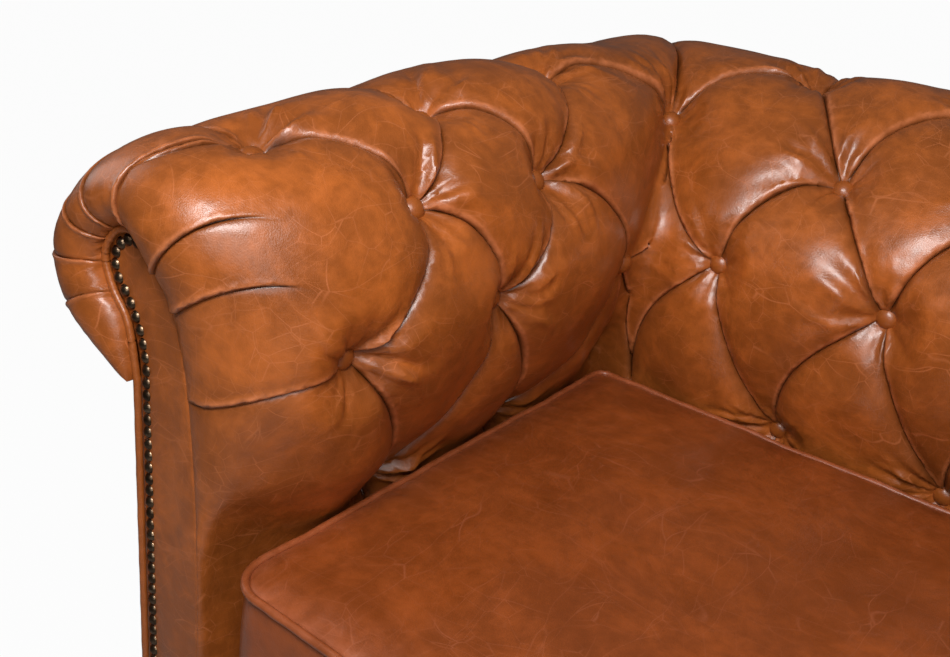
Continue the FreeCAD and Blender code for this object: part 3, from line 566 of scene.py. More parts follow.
def surface_slope(points, faces, field):
    """Unit direction in which a field grows along the surface."""
    a, b, c = points[faces[:, 0]], points[faces[:, 1]], points[faces[:, 2]]
    n = np.cross(b - a, c - a)
    double = np.maximum((n**2).sum(1), 1e-12)[:, None]
    slope = (
        np.cross(n, c - b) * field[faces[:, 0]][:, None]
        + np.cross(n, a - c) * field[faces[:, 1]][:, None]
        + np.cross(n, b - a) * field[faces[:, 2]][:, None]
    ) / double
    total = np.zeros_like(points)
    for k in range(3):
        for axis in range(3):
            total[:, axis] += np.bincount(faces[:, k], slope[:, axis], len(points))
    return total / np.maximum(np.linalg.norm(total, axis=1), 1e-9)[:, None]


def weld_mitres(base, faces, plan_of, past):
    """Joins each arm's mitre to the back's."""
    mine = np.where((plan_of == 1) & (np.abs(past) < 1e-3))[0]
    tree = KDTree(len(mine))
    for i in mine:
        tree.insert(base[i], i)
    tree.balance()
    target = np.arange(len(base))
    for i in np.where((plan_of != 1) & (np.abs(past) < 1e-3))[0]:
        _, j, gap = tree.find(base[i])
        if gap < 0.3:
            target[i] = j
    return target[faces]


def button_seats(plans):
    """Kind, side, place and row of each button. A corner's button belongs to the back."""
    seats = []
    for plan in plans:
        spots = [(b, False) for b in plan.buttons]
        if plan.kind == "back":
            spots += [(c, True) for c in plan.corners]
        for spot, corner in spots:
            station = station_at(spot[1])
            a, s = np.array([spot[0]]), np.array([station])
            seats.append((plan.kind, plan.side, a, s, corner, round(float(station))))
    return seats


def seat_point(kind, side, along, station):
    """A place on the back or on an arm at button level."""
    return place_back(along, station)[0] if kind == "back" else place_arm(side, along, station)[0]


def seat_frame(kind, side, along, station):
    """Place of a button's seat and the direction that it faces."""
    p = seat_point(kind, side, along, station)
    da = seat_point(kind, side, along + 2.0, station) - seat_point(kind, side, along - 2.0, station)
    ds = seat_point(kind, side, along, station + 0.05) - seat_point(kind, side, along, station - 0.05)
    n = np.cross(da, ds)
    n /= np.linalg.norm(n)
    # the leather faces away from the roll's core
    if kind == "arm":
        core = np.array([side * (HALF + 120.0), p[1], 620.0])
    else:
        core = np.array([p[0] * 0.9, BACK_LINE + 200.0, 620.0])
    return p, n if n @ (p - core) > 0 else -n


def gathers(points, normal, seats, height):
    """Wrinkles that run out from each button, the longest ones towards the sofa's corner."""
    rng = np.random.default_rng(11)
    total = np.zeros(len(points))
    for kind, side, along, station, corner, row in seats:
        p, n = seat_frame(kind, side, along, station)
        away = points - p
        near = np.where(np.abs(away).max(1) < 105)[0]
        if not len(near):
            continue
        v = away[near]
        outwards = 1.0 if along[0] > 0 else -1.0
        cornerwards = np.array([0.0, 1.0, 0.0] if kind == "arm" else [outwards, 0.0, 0.0])
        across = cornerwards - n * (cornerwards @ n)
        across /= np.linalg.norm(across)
        up = np.cross(across, n)
        up = up if up[2] > 0 else -up
        a, b = v @ across, v @ up
        r = np.hypot(a, b) + 1e-6
        angle = np.arctan2(b, a)
        facing = smooth(normal[near] @ n, -0.2, 0.4)
        ripple = sum(np.cos(lobes * angle + rng.uniform(0, 6.3)) for lobes in (11, 15, 19))
        total[near] += 0.3 * ripple * smooth(r, 8, 14) * np.exp(-r / 17.0) * facing
        for middle, breadth, number, reach, strong in SPRAYS:
            for k in range(number):
                heading = math.radians(middle + breadth * (2 * (k + rng.uniform(0.2, 0.8)) / number - 1))
                curl = rng.normal() * 0.004
                length = reach * rng.uniform(0.6, 1.25)
                width = rng.uniform(2.6, 4.4)
                turn = (angle - heading - curl * r + math.pi) % (2 * math.pi) - math.pi
                aside = turn * r
                spread = width * (0.45 + r / 55.0)
                beside = (aside - 1.9 * spread) / spread
                shape = np.exp(-((aside / spread) ** 2)) - 0.6 * np.exp(-(beside**2))
                fall = smooth(r, 9, 20) * (1 - smooth(r, length * 0.35, length))
                total[near] += strong * rng.uniform(0.5, 1.2) * shape * fall * facing * (np.abs(turn) < 1.4)
    return total * height


def lay_plans(spacing):
    """The plans of both arms and the back laid in space, each point with its nearest fold.

    past is the distance past the mitre, sign the side of the fold that laps over it, and rise how far up its
    saddle the fold's bottom is.
    """
    shapes = {"arm": arm_plan(), "back": back_plan()}
    cuts = {kind: cut_plan(s[0], s[1], s[2], s[3] + s[4], spacing) for kind, s in shapes.items()}
    plans = []
    for kind, side in (("arm", -1), ("back", 0), ("arm", 1)):
        _, _, pleats, buttons, corners = shapes[kind]
        flat, faces = cuts[kind]
        along, station = flat[:, 0], station_at(flat[:, 1])
        if kind == "back":
            base = place_back(along, station)
            past = HALF + profile_out("arm", station) - np.abs(along)
        else:
            base = place_arm(side, along, station)
            past = along + profile_out("back", station)
        owner, distance, sign, share = nearest_pleat(pleats, flat)
        over, fade, depth = (
            np.array([getattr(p, name) for p in pleats], float)[owner] for name in ("over", "fade", "depth")
        )
        seam = np.array([p.seam is not None for p in pleats])[owner]
        sign = np.where(seam, 1.0 if kind == "arm" else -1.0, sign * over)
        rise = np.zeros(len(flat))
        for k, pleat in enumerate(pleats):
            mine = owner == k
            rise[mine] = crease_share(pleat, share[mine])
        seen = vertex_normals(base, faces)[np.abs(station - 3) < 0.5].mean(0)
        if (-seen[1] if kind == "back" else -side * seen[0]) < 0:
            faces = faces[:, ::-1]
        plans.append(SimpleNamespace(
            kind=kind, side=side, buttons=buttons, corners=corners, base=base, faces=faces,
            along=along, station=station, past=past, distance=distance, sign=sign, share=share, rise=rise,
            fade=fade, depth=depth,
        ))
    return plans


def join_plans(plans):
    """The three plans as one surface, joined along the mitres."""
    hide = SimpleNamespace()
    for name in ("base", "along", "station", "past", "distance", "sign", "share", "rise", "fade", "depth"):
        setattr(hide, name, np.concatenate([getattr(p, name) for p in plans]))
    hide.fade = hide.fade > 0.5
    hide.plan_of = np.concatenate([np.full(len(p.base), i) for i, p in enumerate(plans)])
    start = np.cumsum([0] + [len(p.base) for p in plans])
    faces = np.concatenate([p.faces + o for p, o in zip(plans, start)])
    part = np.concatenate([np.full(len(p.faces), i) for i, p in enumerate(plans)])
    faces = weld_mitres(hide.base, faces, hide.plan_of, hide.past)
    good = (faces[:, 0] != faces[:, 1]) & (faces[:, 1] != faces[:, 2]) & (faces[:, 0] != faces[:, 2])
    hide.faces, hide.part = faces[good], part[good]
    hide.used = np.zeros(len(hide.base), bool)
    hide.used[hide.faces] = True
    # the rim is where an edge has one face
    pairs = np.concatenate([hide.faces[:, list(ends)] for ends in ((0, 1), (1, 2), (2, 0))])
    pairs = np.sort(pairs, axis=1)
    key, counts = np.unique(pairs[:, 0] * 10**7 + pairs[:, 1], return_counts=True)
    lone = key[counts == 1]
    hide.rim = np.zeros(len(hide.base), bool)
    hide.rim[np.concatenate([lone // 10**7, lone % 10**7])] = True
    return hide


def button_pull(base, seats):
    """How far each point is from a button, and the level of that button's seat."""
    from_button = np.full(len(base), 200.0)
    level = np.zeros(len(base))
    for kind, side, along, station, corner, row in seats:
        away = np.linalg.norm(base - seat_point(kind, side, along, station), axis=1)
        shared = kind == "arm" and along[0] < 60 and row < 5
        level = np.where(away < from_button, SHARED_SEAT if shared else BUTTON_SEAT, level)
        from_button = np.minimum(from_button, away)
    return from_button, level


def fullness(hide, kite):
    """How full the leather is stuffed, as a share of a pillow's height."""
    in_arm = hide.plan_of != 1
    plump = spline(PLUMP, hide.station)
    nose = np.where(in_arm, smooth(hide.along, 430, 550), 0.0)
    plump = plump * (1 - nose * (0.82 - 0.52 * smooth(hide.station, 3.8, 6.5)))
    plump = plump * (1 - 0.8 * kite)
    beside = np.where(in_arm, 1 - smooth(hide.along, 60, 170), 0.0)
    beside = beside * smooth(hide.station, 1.6, 2.4) * (1 - smooth(hide.station, 4.4, 5.4))
    return plump * (1 - 0.3 * beside)


def buttoned_hide(values):
    """Both arms and the back in buttoned leather: points, faces, their plans, lip wear with painted
    highlight, painted crease shade and buttons.
    """
    pillow, saddle, lip = values.pillow_height / MM, values.saddle_height / MM, values.fold_lip / MM
    plans = lay_plans(values.spacing / MM)
    seats = button_seats(plans)
    hide = join_plans(plans)
    base, faces, distance, share = hide.base, hide.faces, hide.distance, hide.share
    normal = vertex_normals(base, faces)
    # the leather is held at its rim, its folds and its buttons, and swells between them
    from_button, seat_level = button_pull(base, seats)
    seated = from_button < SEAT_RADIUS
    on_pleat = (distance < 0.35) & ~hide.fade
    fixed = hide.rim | on_pleat | seated | ~hide.used
    net = spring_net(base, faces)
    none = np.zeros(len(base))
    root = np.sqrt(np.maximum(relax(net, net[3], fixed, none), 0))
    bottom = saddle * np.maximum(hide.rise, 0) ** 0.7 * smooth(from_button, 6, 30)
    held = np.where(seated, seat_level, np.where(on_pleat & ~hide.rim, bottom, 0.0))
    level = relax(net, none, fixed, held)
    # the leather is drawn flat across the corner under its button
    kite = np.exp(-((hide.past / 62.0) ** 2)) * (1 - smooth(hide.station, 5.0, 5.9))
    swell = (pillow - saddle) * 1.12 * (1 - np.exp(-1.25 * root / 33.0)) + 0.06 * root
    height = (level + swell * (0.2 + 0.8 * smooth(from_button, 8, 46))) * fullness(hide, kite)
    height *= 1 + 0.06 * waves(base, 230, 3)
    height += 0.8 * waves(base, 80, 5) * np.clip(root / 20, 0, 1) * (1 - kite)
    # a fold: the pillow above laps over it with a beaded lip, the one below sinks, and a crease lies between
    fading = np.clip(share * 8, 0, 1) * (1 - share) ** 0.8
    ends = np.where(hide.fade, fading, np.clip(np.minimum(share, 1 - share) * 6, 0, 1))
    strength = hide.depth * ends
    upper = (hide.sign > 0) & (distance > 0.35)
    height += np.where(upper, 2.0, -1.6) * np.exp(-distance / 6.5) * strength
    height -= np.where(hide.fade, 3.4, 2.6) * np.exp(-distance / 1.9) * np.maximum(strength, 0.15)
    bead = np.exp(-(((distance - 2.4) / 1.5) ** 2)) - 0.55 * np.exp(-(((distance - 6.0) / 2.6) ** 2))
    height += np.where(upper, 1.1 * bead, 0.0) * strength
    height += gathers(base, normal, seats, values.wrinkle_height / MM) * (1 - 0.85 * kite)
    shift = np.where(upper, lip * np.exp(-distance / 5.5) * strength, 0.0)
    points = base + normal * height[:, None] - surface_slope(base, faces, distance) * shift[:, None]
    # painted highlight with rubbed wear: paler on the lip above each fold, and a little beside it below
    rubbed = np.exp(-(((distance - 2.4) / 1.9) ** 2))
    worn = np.where(upper, rubbed, 0.2 * np.exp(-distance / 6.0)) * strength
    # painted shade: darker in each crease and broadly beside the folds, with some wax
    sunk = np.exp(-distance / np.where(upper, 1.2, 2.6))
    sunk += np.where(upper, 0.1, 0.3) * np.exp(-distance / 13.0)
    sunk *= np.clip(strength + 0.3, 0, 1)
    return points, faces, hide.part, np.clip(worn, 0, 1), np.clip(sunk, 0, 1), seats


# Meshes


def mesh_object(name, points, faces, material, body, slot, smooth_faces=True):
    """A mesh object from points in millimetres, riding on a body."""
    mesh = bpy.data.meshes.new(name)
    mesh.from_pydata((np.asarray(points) * MM).tolist(), [], [tuple(int(i) for i in f) for f in faces])
    mesh.update()
    if smooth_faces:
        mesh.shade_smooth()
    obj = bpy.data.objects.new(name, mesh)
    bpy.context.scene.collection.objects.link(obj)
    mesh.materials.append(material)
    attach(obj, body)
    return obj


def set_field(obj, name, values):
    """Stores one number for each point of a mesh, for its material."""
    layer = obj.data.attributes.new(name, "FLOAT", "POINT")
    layer.data.foreach_set("value", np.asarray(values, np.float32))


def lathe(profile, centre, axis, segments, ripple=0.0, lobes=0, phase=0.0):
    """A closed turned form: profile is (radius, height) from the top's middle to the bottom's."""
    axis = np.asarray(axis, float) / np.linalg.norm(axis)
    aside = np.cross(axis, [0.31, 0.17, 0.93])
    aside /= np.linalg.norm(aside)
    other = np.cross(axis, aside)
    angle = np.arange(segments) * 2 * math.pi / segments
    wobble = 1 + ripple * np.cos(lobes * angle + phase)
    points, faces = [centre + axis * profile[0][1]], []
    round_axis = np.cos(angle)[:, None] * aside + np.sin(angle)[:, None] * other
    for radius, height in profile[1:-1]:
        points.extend(centre + axis * height + (radius * wobble)[:, None] * round_axis)
    points.append(centre + axis * profile[-1][1])
    rings = len(profile) - 2
    for j in range(segments):
        k = (j + 1) % segments
        faces.append((0, 1 + j, 1 + k))
        for i in range(rings - 1):
            a, b = 1 + i * segments, 1 + (i + 1) * segments
            faces.append((a + j, b + j, b + k, a + k))
        last = 1 + (rings - 1) * segments
        faces.append((last + j, len(points) - 1, last + k))
    return np.array(points), faces


def merge(shapes):
    """Several (points, faces) as one."""
    points, faces, count = [], [], 0
    for p, f in shapes:
        points.append(p)
        faces.extend(tuple(i + count for i in face) for face in f)
        count += len(p)
    return np.concatenate(points), faces


def cord_mesh(path, radius, closed, sides=12):
    """A round cord along a path, with its joints and ends closed."""
    path = np.asarray(path, float)
    if closed:
        tangent = np.roll(path, -1, 0) - np.roll(path, 1, 0)
    else:
        tangent = np.gradient(path, axis=0)
    tangent /= np.linalg.norm(tangent, axis=1)[:, None]
    side = np.cross(tangent, [0.0, 0.0, 1.0])
    short = np.linalg.norm(side, axis=1) < 0.2
    side[short] = np.cross(tangent[short], [0.0, 1.0, 0.0])
    side /= np.linalg.norm(side, axis=1)[:, None]
    up = np.cross(side, tangent)
    angle = np.arange(sides) * 2 * math.pi / sides
    r = np.broadcast_to(np.asarray(radius, float), (len(path),))[:, None, None]
    ring = np.cos(angle)[None, :, None] * side[:, None, :] + np.sin(angle)[None, :, None] * up[:, None, :]
    points = (path[:, None, :] + r * ring).reshape(-1, 3)
    faces = []
    n = len(path)
    for i in range(n if closed else n - 1):
        k = (i + 1) % n
        for j in range(sides):
            m = (j + 1) % sides
            faces.append((i * sides + j, i * sides + m, k * sides + m, k * sides + j))
    if not closed:
        faces.append(tuple(range(sides))[::-1])
        faces.append(tuple((n - 1) * sides + j for j in range(sides)))
    return points, faces


def soft_panel(low, high, face_axis, facing, crown, spacing, seed, edge=3.0, pull=0.5):
    """A thin upholstered panel that fills a box, crowned on its outer face, with rounded, pulled edges."""
    low, high = np.array(low, float), np.array(high, float)
    axes = [a for a in range(3) if a != face_axis]
    size = (high - low)[axes]
    number = [max(6, int(s / spacing)) for s in size]
    u = np.linspace(0, 1, number[0] + 1)
    v = np.linspace(0, 1, number[1] + 1)
    grid_u, grid_v = np.meshgrid(u, v, indexing="ij")
    shape = grid_u.shape
    a, b = grid_u.ravel() * size[0], grid_v.ravel() * size[1]
    near = np.minimum(np.minimum(a, size[0] - a), np.minimum(b, size[1] - b))
    full = high[face_axis] - low[face_axis]
    round_off = 1 - np.sqrt(np.clip(1 - (1 - np.clip(near / edge, 0, 1)) ** 2, 0, 1))
    swell = crown * smooth(near, 0, min(size) * 0.45)
    flat = np.stack([a, b], 1)
    along = np.where(np.minimum(a, size[0] - a) < np.minimum(b, size[1] - b), b, a)
    tug = pull * np.cos(along * 2 * math.pi / 42 + 1.3 * np.sin(along / 60)) * np.exp(-near / 16)
    outer = swell + tug * smooth(near, 0, edge) + pull * 0.8 * waves(flat, 160, seed) * smooth(near, 0, 60)
    points = []
    for sign in (1, -1):
        p = np.zeros((len(a), 3))
        p[:, axes[0]], p[:, axes[1]] = low[axes[0]] + a, low[axes[1]] + b
        middle = (low[face_axis] + high[face_axis]) / 2
        depth = full / 2 * (1 - round_off)
        lift = outer if sign == 1 else 0.0
        p[:, face_axis] = middle + facing * (sign * depth + lift)
        points.append(p)
    index = np.arange(len(a)).reshape(shape)
    quads = [index[:-1, :-1], index[1:, :-1], index[1:, 1:], index[:-1, 1:]]
    front = np.stack([q.ravel() for q in quads], 1)
    back = front[:, ::-1] + len(a)
    rim = np.concatenate([index[0, :-1], index[:-1, -1], index[-1, :0:-1], index[:0:-1, 0]])
    follow = np.roll(rim, -1)
    band = np.stack([follow, rim, rim + len(a), follow + len(a)], 1)
    faces = np.concatenate([front, back, band])
    points = np.concatenate(points)
    # the crowned face has to face outwards
    if vertex_normals(points, faces[:, :3])[len(a) // 2][face_axis] * facing < 0:
        faces = faces[:, ::-1]
    return points, faces


def flat_outlines(node, axis, facing):
    """The outlines of a node's outermost flat face along an axis, in millimetres, the longest first."""
    mesh, world = NODES[node].data, NODES[node].matrix_world
    keys = [tuple(np.round(np.array(world @ v.co) / MM, 2)) for v in mesh.vertices]
    level = max(k[axis] * facing for k in keys) * facing
    uses = {}
    for polygon in mesh.polygons:
        ring = [keys[i] for i in polygon.vertices]
        if all(abs(k[axis] - level) < 0.05 for k in ring):
            for a, b in zip(ring, ring[1:] + ring[:1]):
                if (b, a) in uses:
                    del uses[(b, a)]
                else:
                    uses[(a, b)] = True
    after = {a: b for a, b in uses}
    loops = []
    while after:
        loop = [next(iter(after))]
        while loop[-1] in after:
            loop.append(after.pop(loop[-1]))
        axes = [k for k in range(3) if k != axis]
        loops.append(np.array(loop[:-1])[:, axes])
    return sorted(loops, key=lambda q: -np.ptp(q, axis=0).sum()), level


def even_loop(loop, step):
    """A closed outline with points at most a step apart."""
    dense = []
    for a, b in zip(loop, np.roll(loop, -1, 0)):
        number = max(1, int(math.ceil(np.linalg.norm(b - a) / step)))
        dense.extend(a + (b - a) * i / number for i in range(number))
    return np.array(dense)


def cut_panel(node, axis, facing, depth, spacing, edge, rise):
    """A closed panel over a node's flat face, with a rounded edge and its face raised by rise(flat, near)."""
    loops, level = flat_outlines(node, axis, facing)
    loops = [even_loop(loop, spacing * 0.6) for loop in loops]
    edges, count = [], 0
    for loop in loops:
        edges += [(count + i, count + (i + 1) % len(loop)) for i in range(len(loop))]
        count += len(loop)
    rim = np.concatenate(loops)
    grid = even_grid(rim.min(0), rim.max(0), spacing)
    near, _ = outline_distance(rim, grid)
    rings = []
    for loop in loops:
        tangent = np.roll(loop, -1, 0) - np.roll(loop, 1, 0)
        tangent /= np.linalg.norm(tangent, axis=1)[:, None]
        aside = np.stack([-tangent[:, 1], tangent[:, 0]], 1)
        rings += [loop + aside * offset * edge for offset in (-1.0, -0.6, -0.3, 0.3, 0.6, 1.0)]
    rings = np.concatenate(rings)
    ring_near, _ = outline_distance(rim, rings)
    loose = np.concatenate([rings[ring_near > 0.25 * edge], grid[near > edge + spacing * 0.5]])
    flat, faces = triangulate(np.concatenate([rim, loose]), edges, 4)
    near, _ = outline_distance(rim, flat)
    near[:count] = 0
    drop = edge * (1 - np.sqrt(np.clip(1 - (1 - np.clip(near / edge, 0, 1)) ** 2, 0, 1)))
    axes = [k for k in range(3) if k != axis]
    points = np.zeros((2 * len(flat), 3))
    points[:, axes] = np.concatenate([flat, flat])
    points[: len(flat), axis] = level - facing * drop + facing * rise(flat, near)
    points[len(flat) :, axis] = level - facing * depth
    band = [(b, a, a + len(flat), b + len(flat)) for a, b in edges]
    return points, [tuple(f) for f in faces] + [tuple(f[::-1] + len(flat)) for f in faces] + band


def solid_boxes(node):
    """The boxes of a node's separate solids, in millimetres."""
    mesh, world = NODES[node].data, NODES[node].matrix_world
    keys = [tuple(np.round(np.array(world @ v.co) / MM, 2)) for v in mesh.vertices]
    parent = {k: k for k in keys}

    def root(k):
        while parent[k] != k:
            k = parent[k]
        return k

    for polygon in mesh.polygons:
        for i in polygon.vertices[1:]:
            parent[root(keys[i])] = root(keys[polygon.vertices[0]])
    groups = {}
    for k in parent:
        groups.setdefault(root(k), []).append(k)
    return [(np.min(g, axis=0), np.max(g, axis=0)) for g in groups.values()]


def ribbon(path, across, width, thickness):
    """A flat band along a path, closed all round."""
    path, across = np.asarray(path, float), np.asarray(across, float)
    tangent = np.gradient(path, axis=0)
    up = np.cross(tangent, across)
    up /= np.linalg.norm(up, axis=1)[:, None]
    w, t = across * width / 2, up * thickness / 2
    rim = [path - w - t, path + w - t, path + w * 1.004, path + w + t, path - w + t, path - w * 1.004]
    points = np.stack(rim, 1).reshape(-1, 3)
    faces = []
    for i in range(len(path) - 1):
        for j in range(6):
            k = (j + 1) % 6
            faces.append((i * 6 + j, i * 6 + k, i * 6 + 6 + k, i * 6 + 6 + j))
    last = (len(path) - 1) * 6
    return points, faces + [tuple(range(6))[::-1], tuple(last + j for j in range(6))]


def tooth(low, high):
    """A small block with its outer face narrowed."""
    (x0, y0, z0), (x1, y1, z1) = low, high
    a, c = (x1 - x0) * 0.2, (z1 - z0) * 0.12
    points = [(x0, y0, z0), (x1, y0, z0), (x1, y0, z1), (x0, y0, z1),
              (x0 + a, y1, z0 + c), (x1 - a, y1, z0 + c), (x1 - a, y1, z1 - c), (x0 + a, y1, z1 - c)]
    faces = [(0, 1, 2, 3), (7, 6, 5, 4), (0, 4, 5, 1), (1, 5, 6, 2), (2, 6, 7, 3), (3, 7, 4, 0)]
    return np.array(points), faces


def recalculate(obj):
    """Makes the faces of a closed mesh agree on which side is outside."""
    bm = bmesh.new()
    bm.from_mesh(obj.data)
    bmesh.ops.recalc_face_normals(bm, faces=bm.faces)
    bm.to_mesh(obj.data)
    bm.free()


# Materials

# The bands of a wave texture at a scale of 1: their distance in metres, along an axis and diagonally.
STRAIGHT_BANDS = math.pi / 10
DIAGONAL_BANDS = STRAIGHT_BANDS * math.sqrt(2)


def new_material(name):
    material = bpy.data.materials.new(name)
    material.use_nodes = True
    material.node_tree.nodes.clear()
    return material


def add_node(material, kind, inputs=None, **settings):
    """Adds a node with its settings, and sets or links its inputs. A node as input gives its first output."""
    node = material.node_tree.nodes.new(kind)
    for key, value in settings.items():
        setattr(node, key, value)
    for key, value in (inputs or {}).items():
        if isinstance(value, bpy.types.Node):
            value = value.outputs[0]
        if isinstance(value, bpy.types.NodeSocket):
            material.node_tree.links.new(value, node.inputs[key])
        else:
            node.inputs[key].default_value = value
    return node


def set_ramp(node, stops):
    """Gives a colour ramp its stops, as (position, colour)."""
    ramp = node.color_ramp
    while len(ramp.elements) > 1:
        ramp.elements.remove(ramp.elements[-1])
    ramp.elements[0].position, ramp.elements[0].color = stops[0]
    for position, colour in stops[1:]:
        ramp.elements.new(position).color = colour
    return node


def grey(value):
    return (value, value, value, 1.0)


def tint(colour, share):
    """A colour made lighter or darker in linear light."""
    return (*(min(1.0, c * share) for c in colour[:3]), 1.0)


def leather_material(name, colour, roughness, marbling, scratch):
    """Waxed pull-up leather, aniline dyed and drum waxed: brown that clouds from light to dark over a hand's
    breadth, turns lighter where it is stretched, rubbed or scratched, and shines softly through its wax. Its
    colour also carries a painted highlight along the lips of folds and painted shade in their creases."""
    m = new_material(name)
    place = add_node(m, "ShaderNodeTexCoord").outputs["Object"]
    drift = add_node(m, "ShaderNodeTexNoise", {"Vector": place, "Scale": 7.0, "Detail": 2.0})
    bend = {0: drift.outputs["Color"], 1: (0.06, 0.06, 0.06)}
    bent = add_node(m, "ShaderNodeVectorMath", bend, operation="MULTIPLY")
    bent = add_node(m, "ShaderNodeVectorMath", {0: place, 1: bent}, operation="ADD")
    # clouds of 90 mm, and blotches of 15 mm in them
    like = {"Vector": bent, "Scale": 1 / 0.09, "Detail": 5.0, "Roughness": 0.62}
    clouds = add_node(m, "ShaderNodeTexNoise", like)
    like = {"Vector": bent, "Scale": 1 / 0.015, "Detail": 4.0, "Roughness": 0.6}
    blots = add_node(m, "ShaderNodeTexNoise", like)
    both = add_node(m, "ShaderNodeMix", {0: 0.34, 2: clouds, 3: blots})
    stops = ((0.30, -0.34), (0.47, -0.12), (0.56, 0.12), (0.72, 0.5))
    base = add_node(m, "ShaderNodeValToRGB", {"Fac": both})
    set_ramp(base, [(at, tint(colour, 1 + change * marbling)) for at, change in stops])
    # healed scratches: hair-fine lines, some in nets and some long and straight, drawn 0.3 to 0.4 mm wide to
    # show. Each kind has its turn, its stretch, the size of its cells in metres and its width in cells
    veins = None
    for turn, stretch, cell, width in (
        ((0.4, 0.9, 0.3), (1.0, 1.0, 1.0), 0.034, 0.004),
        ((0.2, 1.1, 0.7), (1.0, 0.2, 1.0), 0.02, 0.009),
        ((1.3, 0.1, 2.1), (0.22, 1.0, 1.0), 0.022, 0.009),
    ):
        like = {"Vector": bent, "Rotation": turn, "Scale": tuple(s / cell for s in stretch)}
        spin = add_node(m, "ShaderNodeMapping", like)
        net = add_node(m, "ShaderNodeTexVoronoi", {"Vector": spin, "Scale": 1.0}, feature="DISTANCE_TO_EDGE")
        edge = net.outputs["Distance"]
        thin = add_node(m, "ShaderNodeMapRange", {"Value": edge, 1: 0.0, 2: width * 2.0, 3: 1.0, 4: 0.0})
        here = add_node(m, "ShaderNodeTexNoise", {"Vector": spin, "Scale": 0.7, "Detail": 2.0})
        some = add_node(m, "ShaderNodeMapRange", {"Value": here, 1: 0.42, 2: 0.66, 3: 0.0, 4: 1.0})
        line = add_node(m, "ShaderNodeMath", {0: thin, 1: some}, operation="MULTIPLY")
        if veins is not None:
            line = add_node(m, "ShaderNodeMath", {0: veins, 1: line}, operation="MAXIMUM")
        veins = line
    amount = add_node(m, "ShaderNodeMath", {0: veins, 1: 0.55 * scratch}, operation="MULTIPLY")
    pale = (*(c * 1.5 + 0.04 for c in colour[:3]), 1.0)
    marked = add_node(m, "ShaderNodeMix", {0: amount, 6: base, 7: pale}, data_type="RGBA").outputs[2]
    # painted highlight with rubbed wear, pale in patches along the lips of the folds, and painted shade with
    # some wax, dark in their depth
    worn = add_node(m, "ShaderNodeAttribute", attribute_name="worn").outputs["Fac"]
    patchy = add_node(m, "ShaderNodeMapRange", {"Value": blots, 1: 0.3, 2: 0.7, 3: 0.35, 4: 1.0})
    rubbed = add_node(m, "ShaderNodeMath", {0: worn, 1: patchy}, operation="MULTIPLY")
    rubbed = add_node(m, "ShaderNodeMath", {0: rubbed, 1: 0.85}, operation="MULTIPLY")
    # the pale colour of the painted lip highlight with rubbed wear
    pale_wear_and_highlight = (*(c * 1.9 + 0.06 for c in colour[:3]), 1.0)
    with_painted_highlight = add_node(m, "ShaderNodeMix", {0: rubbed, 6: marked, 7: pale_wear_and_highlight}, data_type="RGBA").outputs[2]
    sunk = add_node(m, "ShaderNodeAttribute", attribute_name="sunk").outputs["Fac"]
    # painted shade: the crease mask darkens the colour towards a near-black brown
    deep = add_node(m, "ShaderNodeMath", {0: sunk, 1: 0.9}, operation="MULTIPLY")
    dark = tint(colour, 0.16)
    final = add_node(m, "ShaderNodeMix", {0: deep, 6: with_painted_highlight, 7: dark}, data_type="RGBA").outputs[2]
    dull, clear = roughness + 0.1, roughness - 0.07
    gloss = add_node(m, "ShaderNodeMapRange", {"Value": blots, 1: 0.25, 2: 0.75, 3: clear, 4: dull})
    # pebbled grain of 1.4 mm, fine creases of 6 mm, and the scratches a little proud
    pebble = add_node(m, "ShaderNodeTexVoronoi", {"Vector": bent, "Scale": 1 / 0.0014}).outputs["Distance"]
    like = {"Vector": bent, "Scale": 1 / 0.006, "Detail": 4.0, "Roughness": 0.62}
    crease = add_node(m, "ShaderNodeTexNoise", like)
    relief = add_node(m, "ShaderNodeMath", {0: crease, 1: 2.2}, operation="MULTIPLY")
    relief = add_node(m, "ShaderNodeMath", {0: pebble, 1: relief}, operation="ADD")
    ridge = add_node(m, "ShaderNodeMath", {0: veins, 1: 0.5}, operation="MULTIPLY")
    relief = add_node(m, "ShaderNodeMath", {0: relief, 1: ridge}, operation="ADD")
    bump = add_node(m, "ShaderNodeBump", {"Height": relief, "Strength": 0.2, "Distance": 0.0005})
    shader = add_node(m, "ShaderNodeBsdfPrincipled", {
        "Base Color": final, "Roughness": gloss, "Normal": bump, "IOR": 1.5, "Coat Weight": 0.3,
        "Coat Roughness": 0.24,
    })
    add_node(m, "ShaderNodeOutputMaterial", {"Surface": shader})
    return m


def metal_material(name, dark, bright, roughness, wear_mm):
    """Metal with a patina that is darker in spots and rubbed bright in others."""
    m = new_material(name)
    place = add_node(m, "ShaderNodeTexCoord").outputs["Object"]
    spots = add_node(m, "ShaderNodeTexNoise", {"Vector": place, "Scale": 1000 / wear_mm, "Detail": 3.0})
    colour = add_node(m, "ShaderNodeValToRGB", {"Fac": spots})
    set_ramp(colour, [(0.38, linear_colour(dark)), (0.66, linear_colour(bright))])
    dull, clear = roughness + 0.12, roughness - 0.05
    gloss = add_node(m, "ShaderNodeMapRange", {"Value": spots, 1: 0.3, 2: 0.7, 3: dull, 4: clear})
    look = {"Base Color": colour, "Metallic": 1.0, "Roughness": gloss}
    shader = add_node(m, "ShaderNodeBsdfPrincipled", look)
    add_node(m, "ShaderNodeOutputMaterial", {"Surface": shader})
    return m


